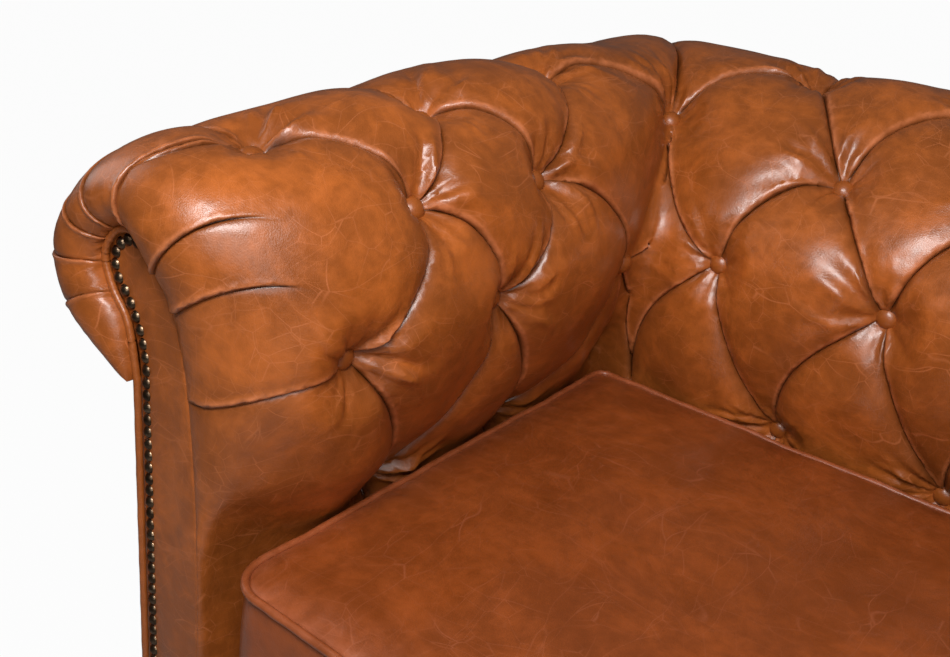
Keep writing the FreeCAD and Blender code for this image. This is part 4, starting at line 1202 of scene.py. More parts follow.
def wood_material(name, early, late, ring_mm, roughness, coat):
    """Wood with long grain along X: pale early wood between darker rings, and short dark pores."""
    m = new_material(name)
    place = add_node(m, "ShaderNodeTexCoord").outputs["Object"]
    long = add_node(m, "ShaderNodeMapping", {"Vector": place, "Scale": (0.08, 1.0, 1.0)})
    scale = DIAGONAL_BANDS / (ring_mm * MM)
    like = {"Vector": long, "Scale": scale, "Distortion": 6.0, "Detail": 3.0, "Detail Scale": 1.5}
    rings = add_node(m, "ShaderNodeTexWave", like, wave_type="BANDS", bands_direction="DIAGONAL")
    pores = add_node(m, "ShaderNodeTexNoise", {"Vector": long, "Scale": 900.0, "Detail": 2.0})
    dots = add_node(m, "ShaderNodeMapRange", {"Value": pores, 1: 0.62, 2: 0.72, 3: 0.0, 4: 0.5})
    grain = add_node(m, "ShaderNodeValToRGB", {"Fac": rings})
    set_ramp(grain, [(0.1, early), (0.9, late)])
    pore = tint(late, 0.45)
    colour = add_node(m, "ShaderNodeMix", {0: dots, 6: grain, 7: pore}, data_type="RGBA").outputs[2]
    bump = add_node(m, "ShaderNodeBump", {"Height": rings, "Strength": 0.2, "Distance": 0.0004})
    shader = add_node(m, "ShaderNodeBsdfPrincipled", {
        "Base Color": colour, "Roughness": roughness, "Normal": bump, "Coat Weight": coat,
        "Coat Roughness": 0.15,
    })
    add_node(m, "ShaderNodeOutputMaterial", {"Surface": shader})
    return m


def cloth_material(name, text, thread_mm, roughness, sheen, contrast=0.35):
    """Plain-woven cloth: two sets of threads at right angles, darker in the gaps between them."""
    m, colour = new_material(name), linear_colour(text)
    place = add_node(m, "ShaderNodeTexCoord").outputs["Object"]
    like = {"Vector": place, "Scale": STRAIGHT_BANDS / (thread_mm * MM), "Distortion": 0.6, "Detail": 1.0}
    warp, weft, rise = (add_node(m, "ShaderNodeTexWave", like, bands_direction=axis) for axis in "XYZ")
    weave = add_node(m, "ShaderNodeMath", {0: warp, 1: weft}, operation="MULTIPLY")
    weave = add_node(m, "ShaderNodeMath", {0: weave, 1: rise}, operation="MAXIMUM")
    slubs = add_node(m, "ShaderNodeTexNoise", {"Vector": place, "Scale": 60.0, "Detail": 4.0})
    mixed = add_node(m, "ShaderNodeMix", {0: 0.5, 2: weave, 3: slubs})
    dyed = add_node(m, "ShaderNodeValToRGB", {"Fac": mixed})
    set_ramp(dyed, [(0.2, tint(colour, 1 - contrast)), (0.8, tint(colour, 1 + contrast))])
    bump = add_node(m, "ShaderNodeBump", {"Height": weave, "Strength": 0.5, "Distance": 0.0004})
    shader = add_node(m, "ShaderNodeBsdfPrincipled", {
        "Base Color": dyed, "Roughness": roughness, "Normal": bump, "Sheen Weight": sheen,
    })
    add_node(m, "ShaderNodeOutputMaterial", {"Surface": shader})
    return m


def cell_material(name, text, cell_mm, roughness, depth):
    """Foam, felt or moulded plastic: fine cells that catch a little light and shade."""
    m, colour = new_material(name), linear_colour(text)
    place = add_node(m, "ShaderNodeTexCoord").outputs["Object"]
    like = {"Vector": place, "Scale": 1000 / cell_mm}
    cells = add_node(m, "ShaderNodeTexVoronoi", like).outputs["Distance"]
    clouds = add_node(m, "ShaderNodeTexNoise", {"Vector": place, "Scale": 14.0, "Detail": 4.0})
    mixed = add_node(m, "ShaderNodeMix", {0: 0.5, 2: cells, 3: clouds})
    dyed = add_node(m, "ShaderNodeValToRGB", {"Fac": mixed})
    set_ramp(dyed, [(0.2, tint(colour, 0.8)), (0.8, tint(colour, 1.1))])
    bump = add_node(m, "ShaderNodeBump", {"Height": cells, "Strength": 0.4, "Distance": depth})
    look = {"Base Color": dyed, "Roughness": roughness, "Normal": bump}
    shader = add_node(m, "ShaderNodeBsdfPrincipled", look)
    add_node(m, "ShaderNodeOutputMaterial", {"Surface": shader})
    return m


FINISHES = {}


def finish(name):
    """The sofa's finishes, each made once."""
    if name in FINISHES:
        return FINISHES[name]
    c = bpy.context.scene.sofa_colours
    buttons, welt, late = tint(c.hide, 0.85), tint(c.hide, 0.95), tint(c.feet, 0.55)
    sawn = linear_colour("#D8BE94"), linear_colour("#BC9868")
    make = {
        # cowhide, aniline dyed and waxed: mottled brown with a satin sheen, paler where hands rub it; a
        # painted highlight on the lips of folds and painted shade in their creases
        "waxed_hide": lambda: leather_material("waxed_pull_up_leather", c.hide, 0.35, 1.15, 1.1),
        # the same hide stretched over button moulds: a little darker, and too small a piece to be mottled
        "button_hide": lambda: leather_material("waxed_leather_over_buttons", buttons, 0.36, 0.5, 0.4),
        # the same hide, redder and polished by sitting: calmer clouds and a duller shine
        "cushion_hide": lambda: leather_material("waxed_cushion_leather", c.cushion_hide, 0.37, 0.9, 0.75),
        # leather sewn round a cord: rubbed lighter on its crown, with a broken dull shine
        "piping_hide": lambda: leather_material("rubbed_piping_leather", c.cushion_hide, 0.4, 0.7, 0.8),
        "welt_hide": lambda: leather_material("rubbed_welt_leather", welt, 0.4, 0.7, 0.8),
        # antique bronze, oxidised and rubbed on the crowns: nearly black with warm bright spots
        "nail_bronze": lambda: metal_material("antique_bronze_nails", "#4A3A2C", "#7A6652", 0.28, 14.0),
        # sawn birch, unfinished: pale and dull, since it is hidden
        "hardwood": lambda: wood_material("sawn_hardwood", *sawn, 19.531, 0.7, 0.0),
        # beech turned, stained and lacquered: dark red brown with a clear shine
        "turned_wood": lambda: wood_material("stained_lacquered_beech", c.feet, late, 11.1605, 0.35, 0.5),
        # jute yarn, coarsely woven: buff and hairy
        "jute": lambda: cloth_material("jute_webbing", "#B09A70", 1.5072, 0.95, 0.1),
        # cotton felt: matted white fibres
        "deck_padding": lambda: cell_material("cotton_felt", "#D9D4C8", 3.0, 0.95, 0.0006),
        # cotton platform cloth, dyed brown: matt, so that it doesn't draw the eye when a cushion is out
        "deck_cloth": lambda: cloth_material("brown_platform_cloth", "#6A4A32", 0.7536, 0.9, 0.15),
        # spun-bonded polypropylene, calendered: thin dull black with a faint pattern
        "dust_cloth": lambda: cloth_material("black_dust_cloth", "#1E1D1C", 1.0048, 0.85, 0.1),
        # polyester tape, woven: dark brown, finely ribbed and dull
        "zip_cloth": lambda: cloth_material("woven_zip_tape", "#4A3222", 0.5652, 0.85, 0.1),
        # brass, die cast and antiqued: dull yellow brown
        "zip_brass": lambda: metal_material("antiqued_zip_brass", "#5E4A28", "#B49A5E", 0.32, 3.0),
        # zinc-plated steel, tumbled: light grey with a soft shine
        "steel": lambda: metal_material("zinc_plated_steel", "#8E9092", "#C0C2C4", 0.34, 4.0),
        # nylon, moulded: black and faintly spark-eroded
        "glide_plastic": lambda: cell_material("moulded_nylon_glides", "#26262A", 0.8, 0.45, 0.0001),
    }
    FINISHES[name] = make[name]()
    return FINISHES[name]


def coat_node(node, name):
    """Gives a carried-over CAD node its finish."""
    obj = NODES[node]
    if not obj.data.materials:
        obj.data.materials.append(finish(name))
    for i in range(len(obj.data.materials)):
        obj.data.materials[i] = finish(name)


def node_box(node):
    """A node's box at rest, in millimetres."""
    low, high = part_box(node)
    return np.array(low) / MM, np.array(high) / MM


# Sizes and colours that a user may change


def length(name, description, default):
    return FloatProperty(name=name, description=description, default=default, unit="LENGTH")


def power(name, description, default):
    return FloatProperty(name=name, description=description, default=default, unit="POWER")


def colour(name, description, text):
    return FloatVectorProperty(
        name=name, description=description, subtype="COLOR", size=4, min=0, max=1, default=linear_colour(text)
    )


class SofaButtoning(bpy.types.PropertyGroup):
    """How the buttoned leather swells and folds."""

    pillow_height: length("Pillow height", "How far a pillow stands above button level", 0.034)
    saddle_height: length("Fold height", "How far a fold's middle stands above button level", 0.012)
    fold_lip: length("Fold lip", "How far the upper pillow laps over a fold", 0.0034)
    wrinkle_height: length("Wrinkle height", "Height of the wrinkles round a button", 0.0031)
    spacing: length("Spacing", "Distance between points of the leather", 0.008)
    button_radius: length("Button radius", "Radius of the covered buttons", 0.0115)


class SofaCushioning(bpy.types.PropertyGroup):
    """Form of the seat cushions."""

    crown: length("Crown", "Rise of a cushion's middle above its piping", 0.021)
    piping_radius: length("Piping radius", "Radius of the piping cord in its leather", 0.0037)
    bulge: length("Band bulge", "How far the front band stands out between its pipings", 0.006)
    spacing: length("Spacing", "Distance between points of a cushion", 0.008)


class SofaColours(bpy.types.PropertyGroup):
    """Colours of the sofa's leathers and feet."""

    hide: colour("Leather", "Leather of the arms and the back", "#A0541F")
    cushion_hide: colour("Cushion leather", "Leather of the seat cushions", "#884117")
    feet: colour("Feet", "Stain of the turned feet", "#4A2A1A")


class SofaStage(bpy.types.PropertyGroup):
    """Lamps and floor of the studio."""

    key: power("Key light", "Power of the raised softbox", 21.5)
    front: power("Front light", "Power of the front softbox", 11.0)
    side: power("Side light", "Power of the side softbox", 2.6)
    rear: power("Rear light", "Power of the low softbox behind", 9.0)
    room: FloatProperty(name="Room light", description="Strength of the light from all round", default=0.055)
    floor_size: length("Floor", "Half the floor's width", 14.0)


# Operators


class SOFA_OT_buttoned_leather(bpy.types.Operator):
    """Make the buttoned leather of both arms and the back, with its covered buttons"""

    bl_idname = "sofa.buttoned_leather"
    bl_label = "Buttoned leather"

    def execute(self, context):
        values = context.scene.sofa_buttoning
        points, faces, part, worn, sunk, seats = buttoned_hide(values)
        normals = vertex_normals(points, faces)
        for index, word in ((0, "arm_left"), (1, "back"), (2, "arm_right")):
            used, chosen = np.unique(faces[part == index], return_inverse=True)
            obj = mesh_object(
                f"buttoned_leather_{word}", points[used], chosen.reshape(-1, 3), finish("waxed_hide"), "sofa",
                "buttoned_leather",
            )
            obj.data.normals_split_custom_set_from_vertices(normals[used].tolist())
            # the painted lip highlight with rubbed wear, and the painted crease shade, for the leather's
            # colour
            set_field(obj, "worn", worn[used])
            set_field(obj, "sunk", sunk[used])
            if word == "back":
                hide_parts("inside_back_leather", "inside_back_foam")
            else:
                side = word.split("_")[1]
                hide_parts(f"inside_arm_leather_{side}", f"inside_arm_foam_{side}")
        self.cover_buttons(seats, values.button_radius / MM, points)
        return {"FINISHED"}

    def cover_buttons(self, seats, radius, points):
        heads = {"back_buttons": [], "arm_buttons_left": [], "arm_buttons_right": []}
        rng = np.random.default_rng(5)
        widest = max(r for r, _ in BUTTON_SECTION)
        for kind, side, along, station, corner, row in seats:
            p, n = seat_frame(kind, side, along, station)
            if corner:
                n = np.array([-np.sign(p[0]) * 0.55, -0.55, 0.62])
                n /= np.linalg.norm(n)
            near = points[np.linalg.norm(points - p, axis=1) < 16]
            top = np.quantile((near - p) @ n, 0.3) if len(near) else 0.0
            seat = p + n * max(top, BUTTON_SEAT)
            profile = [(r * radius / widest, h) for r, h in BUTTON_SECTION]
            shape = lathe(profile, seat, n + rng.normal(size=3) * 0.03, 26, 0.018, 9, rng.uniform(0, 6))
            arm = "arm_buttons_left" if side < 0 else "arm_buttons_right"
            heads["back_buttons" if kind == "back" else arm].append(shape)
        for node, shapes in heads.items():
            heads_mesh = merge(shapes)
            obj = mesh_object(f"covered_{node}", *heads_mesh, finish("button_hide"), "sofa", "button_leather")
            recalculate(obj)
            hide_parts(node)


class SOFA_OT_arm_fronts(bpy.types.Operator):
    """Finish the facings of the arms, their welts and their domed nails"""

    bl_idname = "sofa.arm_fronts"
    bl_label = "Arm fronts"

    def execute(self, context):
        for seed, (word, side) in enumerate(SIDES):
            low, high = node_box(f"arm_facing_{word}")

            def rise(flat, near):
                upright = np.column_stack([flat[:, 0], flat[:, 1] * 0.25])
                return (1.6 * smooth(near, 0, 34) + 0.7 * waves(upright, 60, 41 + seed) * smooth(near, 4, 30)
                        + 0.5 * waves(flat, 120, 51 + seed) * smooth(near, 4, 40))

            shape = cut_panel(f"arm_facing_{word}", 1, -1, high[1] - low[1], 7.0, 4.0, rise)
            facing = mesh_object(
                f"arm_front_leather_{word}", *shape, finish("waxed_hide"), "sofa", "buttoned_leather"
            )
            recalculate(facing)
            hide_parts(f"arm_facing_{word}")
            low, high = node_box(f"arm_facing_welt_{word}")
            station = np.linspace(7, 13, 160)
            out, up = profile_out("facing", station), profile_up("facing", station)
            path = np.stack([side * (HALF + out), PIPING + up], 1)
            down = np.arange(path[-1, 1] - 4, low[2], -6.0)
            path = np.concatenate([path, [(path[-1, 0], z) for z in down]])
            tangent = np.gradient(path, axis=0)
            tangent /= np.linalg.norm(tangent, axis=1)[:, None]
            inward = np.stack([tangent[:, 1], -tangent[:, 0]], 1) * side
            radius = (high[1] - low[1]) / 2
            path = path + inward * (radius - 0.3)
            path = np.column_stack([path[:, 0], np.full(len(path), low[1] + radius), path[:, 1]])
            wave = np.cos(np.arange(len(path)) * 0.9) + np.cos(np.arange(len(path)) * 1.7)
            cord = cord_mesh(path, radius * (1 + 0.025 * wave), False)
            welt = mesh_object(f"arm_front_welt_{word}", *cord, finish("welt_hide"), "sofa", "welt_leather")
            recalculate(welt)
            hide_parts(f"arm_facing_welt_{word}")
            coat_node(f"arm_nails_{word}", "nail_bronze")
        return {"FINISHED"}


class SOFA_OT_outside_panels(bpy.types.Operator):
    """Make the leather of the outsides of the arms, the outside back and the front border"""

    bl_idname = "sofa.outside_panels"
    bl_label = "Outside panels"

    def execute(self, context):
        for seed, (node, axis, facing) in enumerate(
            (
                ("outside_arm_leather_left", 0, -1),
                ("outside_arm_leather_right", 0, 1),
                ("outside_back_leather", 1, 1),
                ("front_border", 1, -1),
            )
        ):
            low, high = node_box(node)
            crown = 3.0 if node != "front_border" else 2.0
            shape = soft_panel(low, high, axis, facing, crown, 12.0, seed)
            obj = mesh_object(f"{node}_padded", *shape, finish("waxed_hide"), "sofa", "buttoned_leather")
            recalculate(obj)
            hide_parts(node)
        return {"FINISHED"}


def cushion_outline(step):
    """The seam of a cushion seen from above, anticlockwise, with rounder corners in front."""
    middle = (SEAM_FRONT + SEAM_BACK) / 2
    corners = (
        (SEAM_HALF, SEAM_BACK, SEAM_CORNER_BACK, 0),
        (-SEAM_HALF, SEAM_BACK, SEAM_CORNER_BACK, 90),
        (-SEAM_HALF, SEAM_FRONT, SEAM_CORNER_FRONT, 180),
        (SEAM_HALF, SEAM_FRONT, SEAM_CORNER_FRONT, 270),
    )
    points = []
    for x, y, r, start in corners:
        cx, cy = x - math.copysign(r, x), y - math.copysign(r, y - middle)
        number = max(3, int(r * math.pi / 2 / step) + 1)
        for a in np.linspace(math.radians(start), math.radians(start + 90), number):
            points.append((cx + r * math.cos(a), cy + r * math.sin(a)))
    dense = []
    for a, b in zip(points, points[1:] + points[:1]):
        a, b = np.array(a), np.array(b)
        number = max(1, int(round(np.linalg.norm(b - a) / step)))
        dense.extend(a + (b - a) * i / number for i in range(number))
    return np.array(dense)


def outline_distance(outline, points):
    """Distance from points to a closed outline, and the place along it."""
    tree = KDTree(len(outline))
    for i, (x, y) in enumerate(outline):
        tree.insert((x, y, 0), i)
    tree.balance()
    found = [tree.find((x, y, 0)) for x, y in points]
    return np.array([f[2] for f in found]), np.array([f[1] for f in found])


def cushion_shape(values, seed):
    """One seat cushion about x = 0: points, faces, wear and the paths of its two pipings."""
    rng = np.random.default_rng(seed)
    crown, bulge, spacing = values.crown / MM, values.bulge / MM, values.spacing / MM
    outline = cushion_outline(SEAM_STEP)
    count = len(outline)
    lap = np.arange(count) * 2 * math.pi / count
    tangent = np.roll(outline, -1, 0) - np.roll(outline, 1, 0)
    tangent /= np.linalg.norm(tangent, axis=1)[:, None]
    outward = np.stack([tangent[:, 1], -tangent[:, 0]], 1)
    # the top seam wanders a little up and down
    wander = sum(rng.uniform(0.2, 0.7) * np.sin(lap * k + rng.uniform(0, 6.3)) for k in (7, 12, 19, 31))
    upper = PIPING + 0.8 * wander
    lower = np.full(count, CUSHION_BOTTOM)
    low, high = outline.min(0), outline.max(0)
    inner = [outline - outward * offset for offset in (3.5, 7.5, 12.5, 18.5)]
    grid = even_grid(low, high, spacing)
    near, _ = outline_distance(outline, grid)
    inside = (np.abs(grid[:, 0]) < high[0] - 20) & (grid[:, 1] > low[1] + 20) & (grid[:, 1] < high[1] - 20)
    grid = grid[inside & (near > 24)]
    edges = [(i, (i + 1) % count) for i in range(count)]
    flat, faces = triangulate(np.concatenate([outline] + inner + [grid]), edges, 1)
    near, index = outline_distance(outline, flat)
    near[:count] = 0
    # the crown rises quickly within the seam and gently towards the middle, with puckers along the seam
    middle = np.array([0.0, (low[1] + high[1]) / 2])
    a, b = (high[0] - low[0]) / 2, (high[1] - low[1]) / 2
    u, v = np.clip(np.abs((flat - middle) / (a, b)), 0, 1).T
    dome = (1 - u**2.4) * (1 - v**2.4)
    rise = 0.62 * np.maximum(dome, 0) ** 0.5 + 0.38 * (1 - np.exp(-near / 26.0))
    place = index * SEAM_STEP
    pucker = sum(
        rng.uniform(0.5, 1.0) * np.cos(place * 2 * math.pi / length + rng.uniform(0, 6.3))
        for length in (17, 23, 31, 44)
    )
    strong = 0.5 + 0.5 * waves(np.stack([np.cos(lap[index]), np.sin(lap[index])], 1) * 100, 90, seed + 3)
    top = upper[index] * np.exp(-near / 40) + PIPING * (1 - np.exp(-near / 40)) + crown * rise
    top += 0.62 * pucker * np.clip(strong, 0.15, 1.4) * np.exp(-near / 24) * smooth(near, 0, 7)
    top += 1.5 * waves(flat, 230, seed + 5) * smooth(near, 10, 90)
    top += 0.5 * waves(flat, 75, seed + 6) * smooth(near, 5, 50)
    top[:count] = upper
    # the band bulges more in front, and flutters along both seams
    points = [np.column_stack([flat, top])]
    behind = smooth(high[1] - outline[:, 1], 4, 40)
    front_share = smooth(-outline[:, 1], 380, 440)
    swell = bulge * front_share + 3.2 * (1 - front_share) * behind
    for i in range(1, BAND_RINGS):
        share = i / BAND_RINGS
        z = upper + (lower - upper) * share
        by_seam = math.exp(-share * 7) + math.exp(-(1 - share) * 7)
        flutter = sum(np.cos(lap * k + k) for k in (41, 57, 73)) * 0.22 * by_seam * behind
        push = swell * math.sin(math.pi * share) ** 0.7 + flutter * math.sin(math.pi * share)
        points.append(np.column_stack([outline + outward * push[:, None], z]))
    points.append(np.column_stack([flat, CUSHION_BOTTOM - 3.4 * smooth(near, 0, 12)]))
    points = np.concatenate(points)
    bottom_start = len(flat) + (BAND_RINGS - 1) * count
    rings = [np.arange(count)]
    rings += [len(flat) + i * count + np.arange(count) for i in range(BAND_RINGS)]
    all_faces = [tuple(f) for f in faces] + [tuple(f[::-1] + bottom_start) for f in faces]
    for above, below in zip(rings[:-1], rings[1:]):
        for j in range(count):
            k = (j + 1) % count
            all_faces.append((above[j], below[j], below[k], above[k]))
    worn = np.zeros(len(points))
    worn[: len(flat)] = 0.5 * np.exp(-near / 9.0) + 0.25 * np.clip(pucker * 0.4, 0, 1) * np.exp(-near / 26)
    seams = []
    radius = values.piping_radius / MM
    jitter = sum(0.22 * np.cos(lap * k + k * 0.7) for k in (47, 61, 83))
    for height in (upper + 0.6, lower - 0.1):
        path = np.column_stack([outline + outward * (2.2 + jitter * 0.4)[:, None], height])
        seams.append((path, radius * (1 + 0.05 * jitter)))
    return points, all_faces, worn, seams


class SOFA_OT_cushions(bpy.types.Operator):
    """Make the three seat cushions with their piping"""

    bl_idname = "sofa.cushions"
    bl_label = "Seat cushions"

    def execute(self, context):
        values = context.scene.sofa_cushioning
        for seed, (word, middle) in enumerate(CUSHIONS):
            points, faces, worn, seams = cushion_shape(values, 21 + seed)
            shift = np.array([middle, 0, 0])
            body = f"cushion_{word}"
            hide = finish("cushion_hide")
            obj = mesh_object(f"seat_cushion_{word}", points + shift, faces, hide, body, "cushion_leather")
            set_field(obj, "worn", worn)
            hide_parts(f"cushion_cover_{word}", f"cushion_foam_{word}")
            cords = [cord_mesh(path + shift, radius, True) for path, radius in seams]
            piping = mesh_object(
                f"seat_piping_{word}", *merge(cords), finish("piping_hide"), body, "piping_leather"
            )
            recalculate(piping)
            set_field(piping, "worn", np.full(len(piping.data.vertices), 0.3))
            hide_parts(f"cushion_piping_{word}")
            self.add_zip(word, body)
        return {"FINISHED"}

    def add_zip(self, word, body):
        """The zip's tape with its two rows of teeth, and the slider's finish."""
        low, high = node_box(f"cushion_zip_tape_{word}")
        shape = soft_panel(low, high, 1, 1, 0.0, 5.0, 61, edge=0.4, pull=0.0)
        tape = mesh_object(f"zip_tape_{word}", *shape, finish("zip_cloth"), body, "zip_cloth")
        recalculate(tape)
        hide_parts(f"cushion_zip_tape_{word}")
        middle = (low[2] + high[2]) / 2
        teeth = []
        for k, x in enumerate(np.arange(low[0] + 6, high[0] - 6, 1.3)):
            z = middle - 2.6 if k % 2 else middle - 0.6
            teeth.append(tooth((x, high[1] - 0.2, z), (x + 1.0, high[1] + 0.35, z + 3.2)))
        teeth = mesh_object(f"zip_teeth_{word}", *merge(teeth), finish("zip_brass"), body, "zip_brass", False)
        recalculate(teeth)
        coat_node(f"cushion_zip_slider_{word}", "zip_brass")


class SOFA_OT_deck(bpy.types.Operator):
    """Make the deck under the cushions and finish its webbing"""

    bl_idname = "sofa.deck"
    bl_label = "Deck"

    def execute(self, context):
        low, high = node_box("seat_deck_cover")
        shape = soft_panel(low, high, 2, 1, 0.0, 16.0, 31, edge=1.5, pull=0.15)
        cover = mesh_object("deck_cloth_cover", *shape, finish("deck_cloth"), "sofa", "deck_cloth")
        recalculate(cover)
        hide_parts("seat_deck_cover")
        low, high = node_box("seat_deck_pad")
        shape = soft_panel(low, high, 2, 1, 0.0, 24.0, 32, edge=12.0, pull=0.3)
        pad = mesh_object("deck_cotton_pad", *shape, finish("deck_padding"), "sofa", "deck_padding")
        recalculate(pad)
        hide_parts("seat_deck_pad")
        self.add_webbing()
        return {"FINISHED"}

    def add_webbing(self):
        """Straps woven over and under each other, tacked to the rails at their ends."""
        boxes = solid_boxes("seat_webbing")
        low, high = np.min([b[0] for b in boxes], axis=0), np.max([b[1] for b in boxes], axis=0)
        middle, long = (low[2] + high[2]) / 2, 0.0
        runs = [0 if (b[1] - b[0])[0] > (b[1] - b[0])[1] else 1 for b in boxes]
        straps = []
        for (a, b), run in zip(boxes, runs):
            crossed = sorted((q[0] + q[1])[run] / 2 for q, other in zip(boxes, runs) if other != run)
            mine = sorted((q[0] + q[1])[1 - run] / 2 for q, other in zip(boxes, runs) if other == run)
            parity = mine.index((a + b)[1 - run] / 2) + run
            at = np.arange(a[run], b[run] + 1, 10.0)
            index = np.interp(at, crossed, np.arange(len(crossed)), left=-0.5, right=len(crossed) - 0.5)
            path = np.zeros((len(at), 3))
            path[:, run], path[:, 1 - run] = at, (a + b)[1 - run] / 2
            path[:, 2] = middle + 0.95 * np.cos(math.pi * (index + parity))
            across = np.array([0.0, 1.0, 0.0]) if run == 0 else np.array([1.0, 0.0, 0.0])
            straps.append(ribbon(path, across, (b - a)[1 - run], 1.4))
            long += (b - a)[run]
        webbing = mesh_object("woven_seat_webbing", *merge(straps), finish("jute"), "sofa", "jute", False)
        recalculate(webbing)
        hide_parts("seat_webbing")


class SOFA_OT_frame(bpy.types.Operator):
    """Finish the wooden frame, the feet with their fixings, and the dust cover"""

    bl_idname = "sofa.frame"
    bl_label = "Frame and feet"

    def execute(self, context):
        for node in NODES:
            if node.startswith("frame_"):
                coat_node(node, "hardwood")
        coat_node("feet", "turned_wood")
        coat_node("foot_glides", "glide_plastic")
        coat_node("foot_bolts", "steel")
        coat_node("foot_tee_nuts", "steel")
        low, high = node_box("dust_cover")

        def sag(flat, near):
            return 3.0 * smooth(near, 4, 160) + 0.5 * waves(flat, 130, 71) * smooth(near, 4, 60)

        shape = cut_panel("dust_cover", 2, -1, high[2] - low[2], 22.0, 0.4, sag)
        cloth = mesh_object("stapled_dust_cover", *shape, finish("dust_cloth"), "sofa", "dust_cloth")
        recalculate(cloth)
        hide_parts("dust_cover")
        return {"FINISHED"}


def softbox(name, place, target, size, power):
    """A rectangular lamp that faces a target."""
    data = bpy.data.lights.new(name, "AREA")
    data.shape = "RECTANGLE"
    data.size, data.size_y = size
    data.energy = power
    lamp = bpy.data.objects.new(name, data)
    lamp.location = place
    lamp.rotation_euler = (Vector(target) - Vector(place)).to_track_quat("-Z", "Y").to_euler()
    bpy.context.scene.collection.objects.link(lamp)


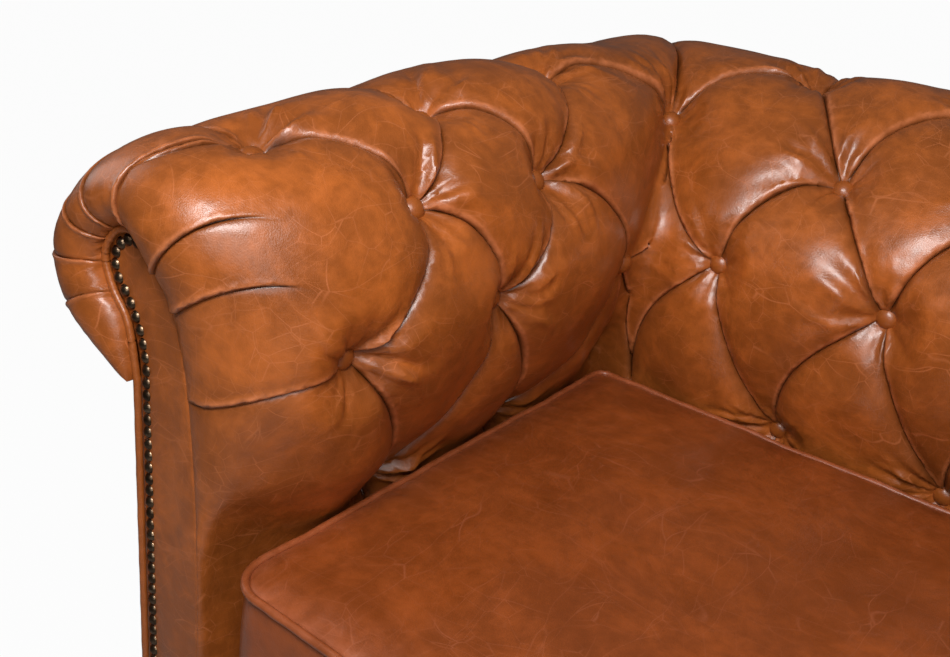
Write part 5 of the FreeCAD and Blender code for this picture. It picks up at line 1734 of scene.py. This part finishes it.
class SOFA_OT_stage(bpy.types.Operator):
    """Set up the camera, the floor, the softboxes and the studio's white background"""

    bl_idname = "sofa.stage"
    bl_label = "Studio"

    def execute(self, context):
        values = context.scene.sofa_stage
        self.add_camera()
        self.add_floor(values.floor_size)
        self.add_world(values.room)
        for name, (place, target, size) in SOFTBOXES.items():
            softbox(f"{name}_softbox", place, target, size, getattr(values, name))
        context.scene.view_settings.view_transform = "Standard"
        return {"FINISHED"}

    def add_camera(self):
        data = bpy.data.cameras.new("photo_camera")
        camera = bpy.data.objects.new("photo_camera", data)
        bpy.context.scene.collection.objects.link(camera)
        yaw, pitch, roll = (math.radians(angle) for angle in (CAMERA_YAW, CAMERA_PITCH, CAMERA_ROLL))
        ahead = Vector((-math.sin(yaw) * math.cos(pitch), math.cos(yaw) * math.cos(pitch), -math.sin(pitch)))
        right = Vector((math.cos(yaw), math.sin(yaw), 0))
        up = right.cross(ahead)
        across = right * math.cos(roll) + up * math.sin(roll)
        upward = up * math.cos(roll) - right * math.sin(roll)
        turn = Matrix((across, upward, -ahead)).transposed().to_4x4()
        x, y, z = CAMERA_PLACE
        place = Vector((x, BACK_LINE + y, PIPING + z)) * MM
        camera.matrix_world = Matrix.Translation(place) @ turn
        data.sensor_width = SENSOR_WIDTH
        data.lens = FOCAL_PIXELS / PICTURE_PIXELS * SENSOR_WIDTH
        data.shift_x, data.shift_y = (shift / PICTURE_PIXELS for shift in SHIFT_PIXELS)
        data.clip_start = 0.05
        bpy.context.scene.camera = camera

    def add_floor(self, half):
        mesh = bpy.data.meshes.new("studio_floor")
        corners = [(-half, -half, 0), (half, -half, 0), (half, half, 0), (-half, half, 0)]
        mesh.from_pydata(corners, [], [(0, 1, 2, 3)])
        floor = bpy.data.objects.new("studio_floor", mesh)
        bpy.context.scene.collection.objects.link(floor)
        # painted studio floor: nearly white to the camera, dim in reflections, darker in the sofa's shadow
        m = new_material("white_painted_floor")
        paint = add_node(m, "ShaderNodeBsdfDiffuse", {"Color": grey(0.38)})
        glow = add_node(m, "ShaderNodeEmission", {"Color": grey(1.0), "Strength": 1.0})
        path = add_node(m, "ShaderNodeLightPath").outputs
        share = self.seen_share(m, path, 0.97, 0.02)
        mix = add_node(m, "ShaderNodeMixShader", {0: share, 1: paint, 2: glow})
        add_node(m, "ShaderNodeOutputMaterial", {"Surface": mix})
        mesh.materials.append(m)

    def seen_share(self, holder, path, seen, mirrored):
        """How much of the white background shows to each kind of ray."""
        straight = {0: path["Is Camera Ray"], 1: path["Is Transmission Ray"]}
        clear = add_node(holder, "ShaderNodeMath", straight, operation="MAXIMUM")
        clear = add_node(holder, "ShaderNodeMath", {0: clear, 1: seen}, operation="MULTIPLY")
        gloss = {0: path["Is Glossy Ray"], 1: mirrored}
        gloss = add_node(holder, "ShaderNodeMath", gloss, operation="MULTIPLY")
        return add_node(holder, "ShaderNodeMath", {0: clear, 1: gloss}, operation="MAXIMUM")

    def add_world(self, strength):
        world = bpy.data.worlds.new("studio_room")
        bpy.context.scene.world = world
        world.use_nodes = True
        world.node_tree.nodes.clear()
        path = add_node(world, "ShaderNodeLightPath").outputs
        lit = add_node(world, "ShaderNodeBackground", {"Color": grey(1.0), "Strength": strength})
        white = add_node(world, "ShaderNodeBackground", {"Color": grey(1.0), "Strength": 1.0})
        share = self.seen_share(world, path, 0.97, 0.03)
        mix = add_node(world, "ShaderNodeMixShader", {0: share, 1: lit, 2: white})
        add_node(world, "ShaderNodeOutputWorld", {"Surface": mix})


class SOFA_PT_panel(bpy.types.Panel):
    """Lists the sofa's parts, sizes and colours"""

    bl_idname = "SOFA_PT_panel"
    bl_label = "Tufted club sofa"
    bl_space_type = "VIEW_3D"
    bl_region_type = "UI"
    bl_category = "Sofa"

    def draw(self, context):
        for group in ("sofa_buttoning", "sofa_cushioning", "sofa_colours", "sofa_stage"):
            box = self.layout.box()
            values = getattr(context.scene, group)
            for key in values.bl_rna.properties.keys():
                if key not in ("rna_type", "name"):
                    box.prop(values, key)
        for operator in OPERATORS:
            self.layout.operator(operator.bl_idname)


OPERATORS = (
    SOFA_OT_stage,
    SOFA_OT_frame,
    SOFA_OT_deck,
    SOFA_OT_arm_fronts,
    SOFA_OT_outside_panels,
    SOFA_OT_buttoned_leather,
    SOFA_OT_cushions,
)
GROUPS = {
    "sofa_buttoning": SofaButtoning,
    "sofa_cushioning": SofaCushioning,
    "sofa_colours": SofaColours,
    "sofa_stage": SofaStage,
}


def register():
    for cls in (*GROUPS.values(), *OPERATORS, SOFA_PT_panel):
        bpy.utils.register_class(cls)
    for name, group in GROUPS.items():
        setattr(bpy.types.Scene, name, PointerProperty(type=group))


def unregister():
    for name in GROUPS:
        delattr(bpy.types.Scene, name)
    for cls in reversed((*GROUPS.values(), *OPERATORS, SOFA_PT_panel)):
        bpy.utils.unregister_class(cls)


def main():
    register()
    bpy.ops.sofa.stage()
    bpy.ops.sofa.frame()
    bpy.ops.sofa.deck()
    bpy.ops.sofa.arm_fronts()
    bpy.ops.sofa.outside_panels()
    bpy.ops.sofa.buttoned_leather()
    bpy.ops.sofa.cushions()


if __name__ == "__main__":
    main()
